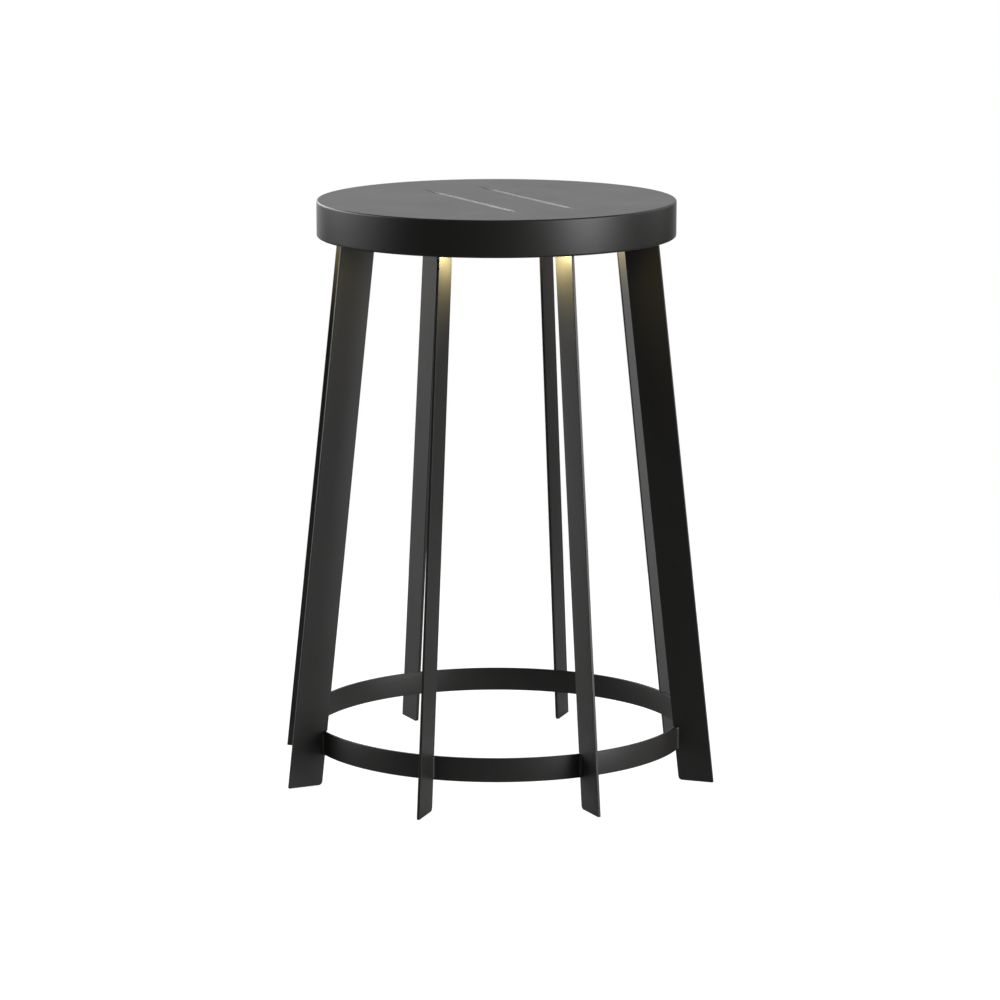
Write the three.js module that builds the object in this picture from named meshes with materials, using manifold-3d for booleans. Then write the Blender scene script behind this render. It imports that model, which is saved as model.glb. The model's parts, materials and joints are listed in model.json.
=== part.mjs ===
// Light-up stool: a round metal seat pan on eight flat-bar legs with a hoop near the floor,
// and a rechargeable lamp under the seat whose light falls on the tops of the legs.
// Millimetres, +Z up, floor at z = 0, front at -Y. An azimuth is counted from the front towards +X.

import * as THREE from "three";
import { mergeVertices } from "three/addons/utils/BufferGeometryUtils.js";
import Module from "manifold-3d";

const wasm = await Module();
wasm.setup();

// Sizes shared by every piece
const fitGap = 0.3;
const cutOverrun = 5;

// Seat pan
const seatDiameter = 300;
const seatHeight = 485;
const seatPlate = 4;
const rimDepth = 30.5;
const rimWall = 3;
const rimTopRound = 1.6;
const rimInnerRound = 2.5;
const rimLowerBevel = 0.5;
const grooveLength = 180;
const grooveWidth = 6.5;
const grooveDepth = 1.6;
const grooveRunOut = 28;
const grooveSpacing = 51.5;

// Legs, cut from flat bar and set edge-on to the stool's axis
const legCount = 8;
const barWidth = 30;
const barThickness = 2.5;
const legInset = 8.5;
const footRadius = 193;
const footCornerRound = 3;

// Hoop that ties the legs near the floor
const hoopLetIn = 3.7;
const hoopWidth = 20;
const hoopThickness = 2.5;
const hoopTop = 46;

// Flat ring that the legs are welded to, bolted up under the seat
const legRingLap = 2;
const legRingWidth = 37;
const legRingThickness = 4;
const studCount = 4;
const studRadius = 3;
const studLength = 16;
const studChamfer = 0.8;
const nutAcrossFlats = 10;
const nutHeight = 6;
const nutFlangeRadius = 7;
const nutFlangeThickness = 1.4;

// Bosses and screws that carry the lamp
const bossCount = 4;
const bossToRib = 1.4;
const bossRadius = 4.5;
const bossHeight = 5;
const bossSkin = 0.8;
const lampScrewRadius = 2;
const lampScrewHeadRadius = 3.6;
const lampScrewHeadHeight = 2.6;
const lampScrewTipGap = 0.5;
const lampScrewSocket = 1.4;
const lampScrewSocketDepth = 1.4;

// Lamp housing
const housingRoof = 2;
const housingWall = 2.5;
const housingRound = 2;
const ribWall = 2.5;
const ribClearance = 3.3;
const channelClearance = 0.8;
const columnRadius = 3.4;
const postRadius = 2.2;
const pinRadius = 1.1;
const pinHeadRadius = 1.9;
const pinHeadHeight = 0.8;
const leadNotchWidth = 5;
const leadNotchHeight = 8;

// Bezel, diffuser and the light source above it
const bezelThickness = 2.5;
const bezelReveal = 0.8;
const bezelRound = 0.8;
const bezelScrewCount = 4;
const bezelScrewRadius = 1.5;
const bezelScrewLength = 9;
const bezelScrewHeadRadius = 2.8;
const bezelScrewHeadHeight = 1.3;
const bezelScrewSocket = 1.1;
const bezelScrewSocketDepth = 0.8;
const diffuserWall = 2;
const diffuserDrop = 7;
const diffuserCrown = 1.4;
const diffuserCrownShare = 0.75;
const diffuserCorner = 4;
const flangeLap = 1.5;
const flangeWidth = 6;
const flangeThickness = 2;
const gasketThickness = 1;
const ledPlateLap = 2;
const ledPlateThickness = 1.5;
const ledBoardMargin = 4.5;
const ledBoardThickness = 1.5;
const ledCount = 6;
const ledCircle = 34;
const ledSide = 5;
const ledThickness = 0.9;
const ledLens = 1.8;
const ledLensRise = 0.5;

// Battery cells and control board
const cellLength = 50;
const cellWidth = 34;
const cellThickness = 9;
const cellHeadroom = 1.3;
const cellSpacing = 4;
const cellRound = 2;
const boardThickness = 1.6;
const boardLength = 26;
const boardWidth = 28;
const boardToCells = 5;
const boardDrop = 5.7;
const boardPinInset = 2.4;
const chipSide = 7;
const chipHeight = 1.2;
const coilRadius = 3;
const coilHeight = 2.4;

// Charging socket at the back of the lamp, and its hinged cap
const socketWidth = 9.2;
const socketHeight = 3.4;
const socketWall = 0.4;
const socketLength = 8;
const socketRecess = 1.6;
const tongueWidth = 6.7;
const tongueThickness = 0.7;
const tongueSetback = 1.2;
const padMargin = 0.8;
const padStep = 1.2;
const chargeBoardLength = 10.4;
const chargeBoardThickness = 1.2;
const capLap = 3.5;
const capThickness = 1.8;
const capLip = 1.5;
const plugClearance = 0.5;
const plugDepth = 1.5;
const capPinRadius = 0.8;
const knuckleRadius = 2.1;
const earWidth = 2;
const hingeDrop = 3.2;

// Push button at the front of the lamp, and the switch behind it
const buttonRadius = 5;
const buttonProud = 1.4;
const buttonFlange = 6.2;
const buttonFlangeThickness = 1.2;
const buttonNeckRadius = 2;
const buttonNeckRest = 0.8;
const buttonTravel = 1.2;
const buttonDish = 0.6;
const stemRadius = 1.6;
const stemLength = 2.3;
const stemEntry = 0.8;
const stemWellRest = 1.2;
const switchSide = 7;
const switchHeight = 4;
const switchBoardLength = 11;
const switchBoardThickness = 1.2;

// Leads inside the lamp
const leadRadius = 0.9;
const leadBend = 4;

// Facets
const seatFacets = 72;
const lampFacets = 48;
const roundFacets = 16;
const smallFacets = 12;
const cornerFacets = 3;
const rimTopSteps = 4;
const grooveFacets = 60;
const leadQuarterSides = 2;
const shortLeadSteps = 3;
const longLeadSteps = 16;
const hexSides = 6;

// Heights that follow from the sizes above
const seatRadius = seatDiameter / 2;
const plateUnder = seatHeight - seatPlate;
const rimLow = seatHeight - rimDepth;
const legRingHigh = plateUnder - fitGap;
const legRingLow = legRingHigh - legRingThickness;
const legHigh = legRingLow - fitGap;
const bossHigh = plateUnder - fitGap;
const bossLow = bossHigh - bossHeight;
const housingHigh = bossLow - fitGap;
const roofUnder = housingHigh - housingRoof;
const ribLow = roofUnder - fitGap - cellThickness - cellHeadroom;
const ledPlateHigh = ribLow - fitGap;
const ledPlateLow = ledPlateHigh - ledPlateThickness;
const ledBoardHigh = ledPlateLow - fitGap;
const ledBoardLow = ledBoardHigh - ledBoardThickness;
const gasketHigh = ledPlateLow - fitGap;
const gasketLow = gasketHigh - gasketThickness;
const flangeHigh = gasketLow - fitGap;
const flangeLow = flangeHigh - flangeThickness;
const bezelHigh = flangeLow - fitGap;
const bezelLow = bezelHigh - bezelThickness;
const housingLow = bezelHigh + fitGap;

// Legs: the outer edge runs straight from inside the rim to the floor
const shoulderRadius = seatRadius - legInset;
const leanSlope = (footRadius - shoulderRadius) / rimLow;
const barRun = barWidth * Math.hypot(1, leanSlope);
const legOuter = (z) => footRadius - leanSlope * z;
const legInner = (z) => legOuter(z) - barRun;
const hoopRadius = legInner(hoopTop) + hoopLetIn;
const legRingRadius = legOuter(legHigh) + legRingLap;
const legRingBore = legRingRadius - legRingWidth;
const studCircle = (legRingRadius + legRingBore) / 2;

// Lamp: the rib stands round the cells and the control board, and the channel outside it
// is as wide as the button needs
const boardRight = -cellLength / 2 - boardToCells;
const boardLeft = boardRight - boardLength;
const ribRadius = Math.hypot(boardLeft, boardWidth / 2) + ribClearance;
const channelInner = ribRadius + ribWall;
const wallInner = channelInner + (buttonFlange + channelClearance) * 2;
const lampRadius = wallInner + housingWall;
const channelMiddle = (channelInner + wallInner) / 2;
const bossCircle = ribRadius - bossToRib - lampScrewHeadRadius;
const flangeRadius = ribRadius + flangeLap;
const diffuserRadius = flangeRadius - flangeWidth;
const bezelBore = diffuserRadius + bezelReveal;
const ledPlateRadius = ribRadius + ledPlateLap;
const ledBoardRadius = diffuserRadius - diffuserWall - ledBoardMargin;

// Azimuths in degrees
const fullTurn = 360;
const legStep = fullTurn / legCount;
const firstLegAzimuth = legStep / 2;
const grooveAzimuth = firstLegAzimuth;
const studAzimuth = legStep;
const bossAzimuth = grooveAzimuth + legStep;
const bezelScrewAzimuth = legStep;

// Finishes
const finish = {
  powderCoat: [0x2b2a29, 0.45, 0.0],
  zinc: [0xb4b6b6, 0.35, 0.9],
  housing: [0x1d1d1e, 0.6, 0.0],
  opal: [0xfff1d0, 0.4, 0.0],
  rubber: [0x161616, 0.85, 0.0],
  aluminium: [0xc9cbcc, 0.4, 0.9],
  whiteBoard: [0xf1f1ec, 0.5, 0.0],
  led: [0xf6d774, 0.3, 0.0],
  greenBoard: [0x1f5a38, 0.5, 0.0],
  cellWrap: [0x2f6f9f, 0.4, 0.0],
  steel: [0xa9abac, 0.3, 1.0],
  lead: [0x8c1f1a, 0.5, 0.0],
};

function material([color, roughness, metalness]) {
  return new THREE.MeshStandardMaterial({ color, roughness, metalness });
}

// A closed geometry as a solid that can be cut and joined
function solid(geometry) {
  const bare = geometry.index ? geometry.toNonIndexed() : geometry.clone();
  bare.deleteAttribute("normal");
  bare.deleteAttribute("uv");
  const merged = mergeVertices(bare);
  return new wasm.Manifold(
    new wasm.Mesh({
      numProp: 3,
      vertProperties: merged.attributes.position.array,
      triVerts: new Uint32Array(merged.index.array),
    }),
  );
}

// A solid back as a geometry that a mesh can show
function geometryOf(body) {
  const mesh = body.getMesh();
  const geometry = new THREE.BufferGeometry();
  geometry.setAttribute("position", new THREE.BufferAttribute(mesh.vertProperties, mesh.numProp));
  geometry.setIndex(new THREE.BufferAttribute(mesh.triVerts, 1));
  geometry.computeVertexNormals();
  return geometry;
}

// The point on a circle round the stool's axis
function around(azimuth, radius) {
  const angle = THREE.MathUtils.degToRad(azimuth);
  return [radius * Math.sin(angle), -radius * Math.cos(angle)];
}

// A solid of revolution about Z from a profile of [radius, height] points, which starts and ends
// on the axis or goes round a ring
function turned(profile, facets) {
  const closed = profile[0][0] === 0 ? profile : [...profile, profile[0]];
  const outline = closed.map(([r, z]) => new THREE.Vector2(r, z));
  if (THREE.ShapeUtils.isClockWise(outline)) outline.reverse();
  return solid(new THREE.LatheGeometry(outline, facets).rotateX(Math.PI / 2));
}

// An upright rod between two heights
function rod(radius, low, high, facets, x = 0, y = 0) {
  const geometry = new THREE.CylinderGeometry(radius, radius, high - low, facets);
  return solid(geometry.rotateX(Math.PI / 2).translate(x, y, (low + high) / 2));
}

// A solid with an upright hole cut right through it, past both heights
function bored(body, radius, low, high, x = 0, y = 0, facets = smallFacets) {
  return body.subtract(rod(radius, low - cutOverrun, high + cutOverrun, facets, x, y));
}

// A rod lying along X, centred on the YZ plane
function crossRod(radius, length, facets, y, z) {
  const geometry = new THREE.CylinderGeometry(radius, radius, length, facets);
  return solid(geometry.rotateZ(Math.PI / 2).translate(0, y, z));
}

function block(xLow, xHigh, yLow, yHigh, zLow, zHigh) {
  const geometry = new THREE.BoxGeometry(xHigh - xLow, yHigh - yLow, zHigh - zLow);
  return solid(geometry.translate((xLow + xHigh) / 2, (yLow + yHigh) / 2, (zLow + zHigh) / 2));
}

// A flat shape raised from one height to another
function slab(shape, low, high, facets) {
  const geometry = new THREE.ExtrudeGeometry(shape, {
    depth: high - low,
    bevelEnabled: false,
    curveSegments: facets,
  });
  return solid(geometry.translate(0, 0, low));
}

// A rectangle with round corners about the origin
function roundedRectangle(width, height, round) {
  const [x, y] = [width / 2, height / 2];
  const shape = new THREE.Shape();
  shape.moveTo(x - round, -y);
  shape.absarc(x - round, round - y, round, -Math.PI / 2, 0);
  shape.absarc(x - round, y - round, round, 0, Math.PI / 2);
  shape.absarc(round - x, y - round, round, Math.PI / 2, Math.PI);
  shape.absarc(round - x, round - y, round, Math.PI, Math.PI * 1.5);
  shape.closePath();
  return shape;
}

// Points of a quarter round from one angle, in degrees, to another
function arc(centreR, centreZ, radius, from, to, steps = cornerFacets) {
  return Array.from({ length: steps + 1 }, (_, i) => {
    const angle = THREE.MathUtils.degToRad(from + ((to - from) * i) / steps);
    return [centreR + radius * Math.cos(angle), centreZ + radius * Math.sin(angle)];
  });
}

const stool = new THREE.Group();
const frameGroup = new THREE.Group();
const lampGroup = new THREE.Group();
stool.add(frameGroup, lampGroup);

function place(group, name, body, look, turn = 0) {
  const mesh = new THREE.Mesh(geometryOf(body), material(look));
  mesh.name = name;
  mesh.rotation.z = THREE.MathUtils.degToRad(turn);
  group.add(mesh);
}

// Seat pan: a flat plate with a deep rim, and two shallow grooves that run out at both ends. Each
// groove is what a long spindle lying on the plate would press into it.
function seatGroove(offset) {
  const radius = ((grooveWidth / 2) ** 2 + grooveDepth ** 2) / (2 * grooveDepth);
  const tip = radius - grooveDepth;
  const end = grooveLength / 2;
  const shoulder = end - grooveRunOut;
  const profile = [
    [0, -end],
    [tip, -end],
    [radius, -shoulder],
    [radius, shoulder],
    [tip, end],
    [0, end],
  ];
  const lying = new THREE.Matrix4().makeRotationZ(THREE.MathUtils.degToRad(grooveAzimuth));
  lying.multiply(new THREE.Matrix4().makeTranslation(offset, 0, seatHeight + tip));
  lying.multiply(new THREE.Matrix4().makeRotationX(Math.PI / 2));
  return turned(profile, grooveFacets).transform(lying.toArray());
}

function seatPan() {
  const inner = seatRadius - rimWall;
  const profile = [
    [0, plateUnder],
    ...arc(inner - rimInnerRound, plateUnder - rimInnerRound, rimInnerRound, 90, 0),
    [inner, rimLow + rimLowerBevel],
    [inner + rimLowerBevel, rimLow],
    [seatRadius - rimLowerBevel, rimLow],
    [seatRadius, rimLow + rimLowerBevel],
    ...arc(seatRadius - rimTopRound, seatHeight - rimTopRound, rimTopRound, 0, 90, rimTopSteps),
    [0, seatHeight],
  ];
  return turned(profile, seatFacets)
    .subtract(seatGroove(-grooveSpacing / 2))
    .subtract(seatGroove(grooveSpacing / 2));
}

function leg() {
  const notchLow = hoopTop - hoopWidth - fitGap;
  const notchHigh = hoopTop + fitGap;
  const notchRadius = hoopRadius + fitGap;
  const shape = new THREE.Shape();
  shape.moveTo(footRadius, 0);
  shape.lineTo(legOuter(legHigh), legHigh);
  shape.lineTo(legInner(legHigh), legHigh);
  shape.lineTo(legInner(notchHigh), notchHigh);
  shape.lineTo(notchRadius, notchHigh);
  shape.lineTo(notchRadius, notchLow);
  shape.lineTo(legInner(notchLow), notchLow);
  shape.lineTo(legInner(footCornerRound), footCornerRound);
  shape.quadraticCurveTo(legInner(0), 0, legInner(0) + footCornerRound, 0);
  shape.closePath();
  const geometry = new THREE.ExtrudeGeometry(shape, {
    depth: barThickness,
    bevelEnabled: false,
    curveSegments: cornerFacets,
  });
  return solid(geometry.rotateX(Math.PI / 2).translate(0, barThickness / 2, 0));
}

function hoop() {
  const [inner, low] = [hoopRadius - hoopThickness, hoopTop - hoopWidth];
  return turned([[inner, low], [hoopRadius, low], [hoopRadius, hoopTop], [inner, hoopTop]], seatFacets);
}

function legRing() {
  const profile = [
    [legRingBore, legRingLow],
    [legRingRadius, legRingLow],
    [legRingRadius, legRingHigh],
    [legRingBore, legRingHigh],
  ];
  let ring = turned(profile, seatFacets);
  for (let i = 0; i < studCount; i += 1) {
    const [x, y] = around(studAzimuth + (fullTurn / studCount) * i, studCircle);
    ring = bored(ring, studRadius + fitGap, legRingLow, legRingHigh, x, y);
  }
  return ring;
}

function seatStud(x, y) {
  const low = legRingHigh - studLength;
  const profile = [
    [0, low],
    [studRadius - studChamfer, low],
    [studRadius, low + studChamfer],
    [studRadius, legRingHigh],
    [0, legRingHigh],
  ];
  return turned(profile, smallFacets).translate(x, y, 0);
}

function studNut(x, y) {
  const high = legRingLow - fitGap;
  const low = high - nutHeight;
  const hexRadius = nutAcrossFlats / 2 / Math.cos(Math.PI / hexSides);
  const flange = rod(nutFlangeRadius, high - nutFlangeThickness, high, roundFacets);
  const nut = rod(hexRadius, low, high, hexSides).add(flange);
  return bored(nut, studRadius + fitGap, low, high).translate(x, y, 0);
}

// Lamp bosses, welded under the seat plate, and their screws
function lampBoss(x, y) {
  const bore = rod(lampScrewRadius + fitGap, bossLow - cutOverrun, bossHigh - bossSkin, smallFacets);
  return rod(bossRadius, bossLow, bossHigh, roundFacets).subtract(bore).translate(x, y, 0);
}

function lampScrew(x, y) {
  const headHigh = roofUnder - fitGap;
  const headLow = headHigh - lampScrewHeadHeight;
  const tip = bossHigh - bossSkin - lampScrewTipGap;
  return rod(lampScrewHeadRadius, headLow, headHigh, smallFacets)
    .add(rod(lampScrewRadius, headLow, tip, smallFacets))
    .subtract(rod(lampScrewSocket, headLow - cutOverrun, headLow + lampScrewSocketDepth, hexSides))
    .translate(x, y, 0);
}

// Places of the small boards, which hang on pins under the housing's roof
const boardHigh = roofUnder - boardDrop;
const socketZ = (housingHigh + housingLow) / 2;
const chargeBoardLow = socketZ + socketHeight / 2 + fitGap;
const chargeBoardHigh = chargeBoardLow + chargeBoardThickness;
const chargeBoardFront = channelMiddle - chargeBoardLength / 2;
const chargeBoardWidth = (socketWidth / 2 + pinHeadRadius + fitGap + boardPinInset) * 2;
const buttonNeck = buttonTravel + buttonNeckRest;
const stemWellDepth = stemEntry + buttonTravel + stemWellRest;
const switchBoardWidth = (switchSide / 2 + pinHeadRadius + fitGap + boardPinInset) * 2;
const switchLow = bezelHigh + fitGap + buttonFlangeThickness + buttonNeck + fitGap + stemLength - stemEntry;
const switchBoardLow = switchLow + switchHeight + fitGap;
const switchBoardHigh = switchBoardLow + switchBoardThickness;

const controlPins = [boardLeft + boardPinInset, boardRight - boardPinInset].map((x) => [x, 0]);
const chargePins = [-1, 1].map((side) => [
  side * (socketWidth / 2 + pinHeadRadius + fitGap),
  channelMiddle,
]);
const switchPins = [-1, 1].map((side) => [
  side * (switchSide / 2 + pinHeadRadius + fitGap),
  -channelMiddle,
]);

// A post under the roof with a pin through the board and a head formed over it
function boardPost([x, y], boardTop, thickness) {
  const headHigh = boardTop - thickness - fitGap;
  return rod(postRadius, boardTop + fitGap, housingHigh - housingRoof / 2, smallFacets, x, y)
    .add(rod(pinRadius, headHigh - pinHeadHeight, housingHigh - housingRoof / 2, smallFacets, x, y))
    .add(rod(pinHeadRadius, headHigh - pinHeadHeight, headHigh, smallFacets, x, y));
}

function boardHoles(board, pins, low, high) {
  return pins.reduce((rest, [x, y]) => bored(rest, pinRadius + fitGap, low, high, x, y), board);
}

// Hinge of the socket's cap, across the back of the lamp
const padFace = lampRadius + padStep;
const hingeY = padFace + fitGap + knuckleRadius + fitGap;
const hingeZ = housingHigh - hingeDrop;
const capWidth = socketWidth + capLap * 2;
const plugWidth = socketWidth - plugClearance * 2;
const plugHeight = socketHeight - plugClearance * 2;
const earInner = capWidth / 2 + fitGap * 2;
const padWidth = (earInner + earWidth + padMargin) * 2;
const capPinLength = (earInner + earWidth) * 2;

function lampHousing() {
  const profile = [
    [0, roofUnder],
    [ribRadius, roofUnder],
    [ribRadius, ribLow],
    [ribRadius + ribWall, ribLow],
    [ribRadius + ribWall, roofUnder],
    [wallInner, roofUnder],
    [wallInner, housingLow],
    [lampRadius, housingLow],
    ...arc(lampRadius - housingRound, housingHigh - housingRound, housingRound, 0, 90),
    [0, housingHigh],
  ];
  let body = turned(profile, lampFacets);
  for (let i = 0; i < bezelScrewCount; i += 1) {
    const [x, y] = around(bezelScrewAzimuth + (fullTurn / bezelScrewCount) * i, channelMiddle);
    const pilotHigh = bezelLow + bezelScrewLength + bezelScrewHeadHeight;
    body = body
      .add(rod(columnRadius, housingLow, housingHigh - housingRoof / 2, smallFacets, x, y))
      .subtract(rod(bezelScrewRadius + fitGap, housingLow - cutOverrun, pilotHigh, smallFacets, x, y));
  }
  for (const pin of controlPins) body = body.add(boardPost(pin, boardHigh, boardThickness));
  for (const pin of chargePins) body = body.add(boardPost(pin, chargeBoardHigh, chargeBoardThickness));
  for (const pin of switchPins) body = body.add(boardPost(pin, switchBoardHigh, switchBoardThickness));

  // Holes for the lamp screws
  for (let i = 0; i < bossCount; i += 1) {
    const [x, y] = around(bossAzimuth + (fullTurn / bossCount) * i, bossCircle);
    body = bored(body, lampScrewRadius + fitGap, roofUnder, housingHigh, x, y);
  }

  // Notches in the rib, front and back, where the leads pass
  for (const side of [-1, 1]) {
    const [near, far] = [side * (ribRadius - ribWall), side * (ribRadius + ribWall * 2)];
    const notch = block(
      -leadNotchWidth / 2,
      leadNotchWidth / 2,
      Math.min(near, far),
      Math.max(near, far),
      ribLow - cutOverrun,
      ribLow + leadNotchHeight,
    );
    body = body.subtract(notch);
  }

  // Flat pad round the charging socket, with the two ears of the cap's hinge
  const ears = [-1, 1].map((side) => {
    const [near, far] = [side * earInner, side * (earInner + earWidth)];
    const [xLow, xHigh] = [Math.min(near, far), Math.max(near, far)];
    const bar = block(
      xLow,
      xHigh,
      lampRadius - housingWall / 2,
      hingeY,
      hingeZ - knuckleRadius,
      hingeZ + knuckleRadius,
    );
    const knuckle = crossRod(knuckleRadius, earWidth, smallFacets, hingeY, hingeZ);
    return bar.add(knuckle.translate((near + far) / 2, 0, 0));
  });
  const pad = block(
    -padWidth / 2,
    padWidth / 2,
    wallInner,
    padFace,
    housingLow + padMargin,
    housingHigh - padMargin,
  );
  const mouth = slab(
    roundedRectangle(socketWidth + fitGap * 2, socketHeight + fitGap * 2, socketHeight / 2),
    0,
    chargeBoardLength + cutOverrun,
    cornerFacets,
  )
    .rotate([90, 0, 0])
    .translate(0, padFace + cutOverrun, socketZ);
  return body
    .add(pad)
    .add(ears[0])
    .add(ears[1])
    .subtract(mouth)
    .subtract(crossRod(capPinRadius + fitGap, padWidth + cutOverrun, smallFacets, hingeY, hingeZ));
}

function bezel() {
  const profile = [
    [bezelBore, bezelLow + bezelRound],
    [bezelBore + bezelRound, bezelLow],
    ...arc(lampRadius - bezelRound, bezelLow + bezelRound, bezelRound, -90, 0),
    [lampRadius, bezelHigh],
    [bezelBore, bezelHigh],
  ];
  let ring = turned(profile, lampFacets);
  for (let i = 0; i < bezelScrewCount; i += 1) {
    const [x, y] = around(bezelScrewAzimuth + (fullTurn / bezelScrewCount) * i, channelMiddle);
    const seat = bezelLow + bezelScrewHeadHeight + fitGap;
    const sink = rod(bezelScrewHeadRadius + fitGap, bezelLow - cutOverrun, seat, smallFacets, x, y);
    ring = bored(ring, bezelScrewRadius + fitGap, bezelLow, bezelHigh, x, y).subtract(sink);
  }
  const [x, y] = around(0, channelMiddle);
  return bored(ring, buttonRadius + fitGap, bezelLow, bezelHigh, x, y, roundFacets);
}

function bezelScrew(x, y) {
  return rod(bezelScrewHeadRadius, bezelLow, bezelLow + bezelScrewHeadHeight, smallFacets)
    .add(rod(bezelScrewRadius, bezelLow, bezelLow + bezelScrewLength, smallFacets))
    .subtract(rod(bezelScrewSocket, bezelLow - cutOverrun, bezelLow + bezelScrewSocketDepth, hexSides))
    .translate(x, y, 0);
}

// Diffuser: an opal drum with a slightly crowned face, held by its flange
function diffuser() {
  const faceLow = bezelLow - diffuserDrop;
  const innerCorner = diffuserCorner - diffuserWall;
  const innerRadius = diffuserRadius - diffuserWall;
  const profile = [
    [0, faceLow - diffuserCrown],
    [diffuserRadius / 2, faceLow - diffuserCrown * diffuserCrownShare],
    ...arc(diffuserRadius - diffuserCorner, faceLow + diffuserCorner, diffuserCorner, -90, 0),
    [diffuserRadius, flangeLow],
    [flangeRadius, flangeLow],
    [flangeRadius, flangeHigh],
    [innerRadius, flangeHigh],
    ...arc(innerRadius - innerCorner, faceLow + diffuserCorner, innerCorner, 0, -90),
    [diffuserRadius / 2, faceLow + diffuserWall - diffuserCrown * diffuserCrownShare],
    [0, faceLow + diffuserWall - diffuserCrown],
  ];
  return turned(profile, lampFacets);
}

function lensGasket() {
  const profile = [
    [diffuserRadius, gasketLow],
    [flangeRadius, gasketLow],
    [flangeRadius, gasketHigh],
    [diffuserRadius, gasketHigh],
  ];
  return turned(profile, lampFacets);
}

// Light source: an aluminium plate that spreads heat, a round board and its emitters
const ledLeadPlace = [boardLeft + boardLength / 2, boardWidth / 4];

function ledPlate() {
  const plate = rod(ledPlateRadius, ledPlateLow, ledPlateHigh, lampFacets);
  return bored(plate, leadRadius * 2, ledPlateLow, ledPlateHigh, ...ledLeadPlace);
}

function led(x, y) {
  const high = ledBoardLow - fitGap;
  const low = high - ledThickness;
  return block(-ledSide / 2, ledSide / 2, -ledSide / 2, ledSide / 2, low, high)
    .add(rod(ledLens, low - ledLensRise, high, smallFacets))
    .translate(x, y, 0);
}

function batteryCell(side) {
  const shape = roundedRectangle(cellLength, cellWidth, cellRound);
  const high = roofUnder - fitGap;
  const aside = side * ((cellWidth + cellSpacing) / 2);
  return slab(shape, high - cellThickness, high, cornerFacets).translate(0, aside, 0);
}

function controlBoard() {
  const low = boardHigh - boardThickness;
  const board = block(boardLeft, boardRight, -boardWidth / 2, boardWidth / 2, low, boardHigh);
  const middle = (boardLeft + boardRight) / 2;
  const chip = block(
    middle - chipSide / 2,
    middle + chipSide / 2,
    -boardWidth / 4 - chipSide / 2,
    -boardWidth / 4 + chipSide / 2,
    low - chipHeight,
    boardHigh,
  );
  const [coilX, coilY] = [boardRight - chipSide, boardWidth / 4];
  const coil = rod(coilRadius, low - coilHeight, boardHigh, smallFacets, coilX, coilY);
  return boardHoles(board.add(chip).add(coil), controlPins, low - coilHeight, boardHigh);
}

// Charging socket with its board, cap and pin
function chargeBoard() {
  const board = block(
    -chargeBoardWidth / 2,
    chargeBoardWidth / 2,
    chargeBoardFront,
    chargeBoardFront + chargeBoardLength,
    chargeBoardLow,
    chargeBoardHigh,
  );
  return boardHoles(board, chargePins, chargeBoardLow, chargeBoardHigh);
}

function chargeSocket() {
  const mouth = padFace - socketRecess;
  const shell = (width, height, length) =>
    slab(roundedRectangle(width, height, height / 2), 0, length, cornerFacets).rotate([90, 0, 0]);
  const [boreWidth, boreHeight] = [socketWidth - socketWall * 2, socketHeight - socketWall * 2];
  const bore = shell(boreWidth, boreHeight, socketLength - socketWall + cutOverrun);
  const tongue = block(
    -tongueWidth / 2,
    tongueWidth / 2,
    mouth - socketLength,
    mouth - tongueSetback,
    socketZ - tongueThickness / 2,
    socketZ + tongueThickness / 2,
  );
  return shell(socketWidth, socketHeight, socketLength)
    .translate(0, mouth, socketZ)
    .subtract(bore.translate(0, mouth + cutOverrun, socketZ))
    .add(tongue);
}

function socketCap() {
  const inner = padFace + fitGap;
  const capLow = socketZ - socketHeight / 2 - capLap;
  const plate = block(-capWidth / 2, capWidth / 2, inner, inner + capThickness, capLow, hingeZ);
  const lipFace = inner + capThickness + capLip;
  const lip = block(-socketWidth / 2, socketWidth / 2, inner, lipFace, capLow, capLow + capLip);
  const plug = block(
    -plugWidth / 2,
    plugWidth / 2,
    inner - plugDepth,
    inner + capThickness / 2,
    socketZ - plugHeight / 2,
    socketZ + plugHeight / 2,
  );
  return plate
    .add(crossRod(knuckleRadius, capWidth, smallFacets, hingeY, hingeZ))
    .add(plug)
    .add(lip)
    .subtract(crossRod(capPinRadius + fitGap, capWidth + cutOverrun, smallFacets, hingeY, hingeZ));
}

// Push button, the switch above it and the stem between them
function pushButton() {
  const face = bezelLow - buttonProud;
  const flangeFoot = bezelHigh + fitGap;
  const shoulder = flangeFoot + buttonFlangeThickness;
  const profile = [
    [0, face + buttonDish],
    [buttonRadius / 2, face + buttonDish / 2],
    [buttonRadius - buttonDish, face],
    [buttonRadius, face + buttonDish],
    [buttonRadius, flangeFoot],
    [buttonFlange, flangeFoot],
    [buttonFlange, shoulder],
    [buttonNeckRadius, shoulder],
    [buttonNeckRadius, shoulder + buttonNeck],
    [0, shoulder + buttonNeck],
  ];
  return turned(profile, roundFacets).translate(0, -channelMiddle, 0);
}

function switchStem() {
  const low = switchLow + stemEntry - stemLength;
  return rod(stemRadius, low, low + stemLength, smallFacets, 0, -channelMiddle);
}

function switchBody() {
  const half = switchSide / 2;
  const well = rod(stemRadius + fitGap, switchLow - cutOverrun, switchLow + stemWellDepth, smallFacets);
  return block(-half, half, -half, half, switchLow, switchLow + switchHeight)
    .subtract(well)
    .translate(0, -channelMiddle, 0);
}

function switchBoard() {
  const [halfX, halfY] = [switchBoardWidth / 2, switchBoardLength / 2];
  const board = block(
    -halfX,
    halfX,
    -halfY - channelMiddle,
    halfY - channelMiddle,
    switchBoardLow,
    switchBoardHigh,
  );
  return boardHoles(board, switchPins, switchBoardLow, switchBoardHigh);
}

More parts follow.
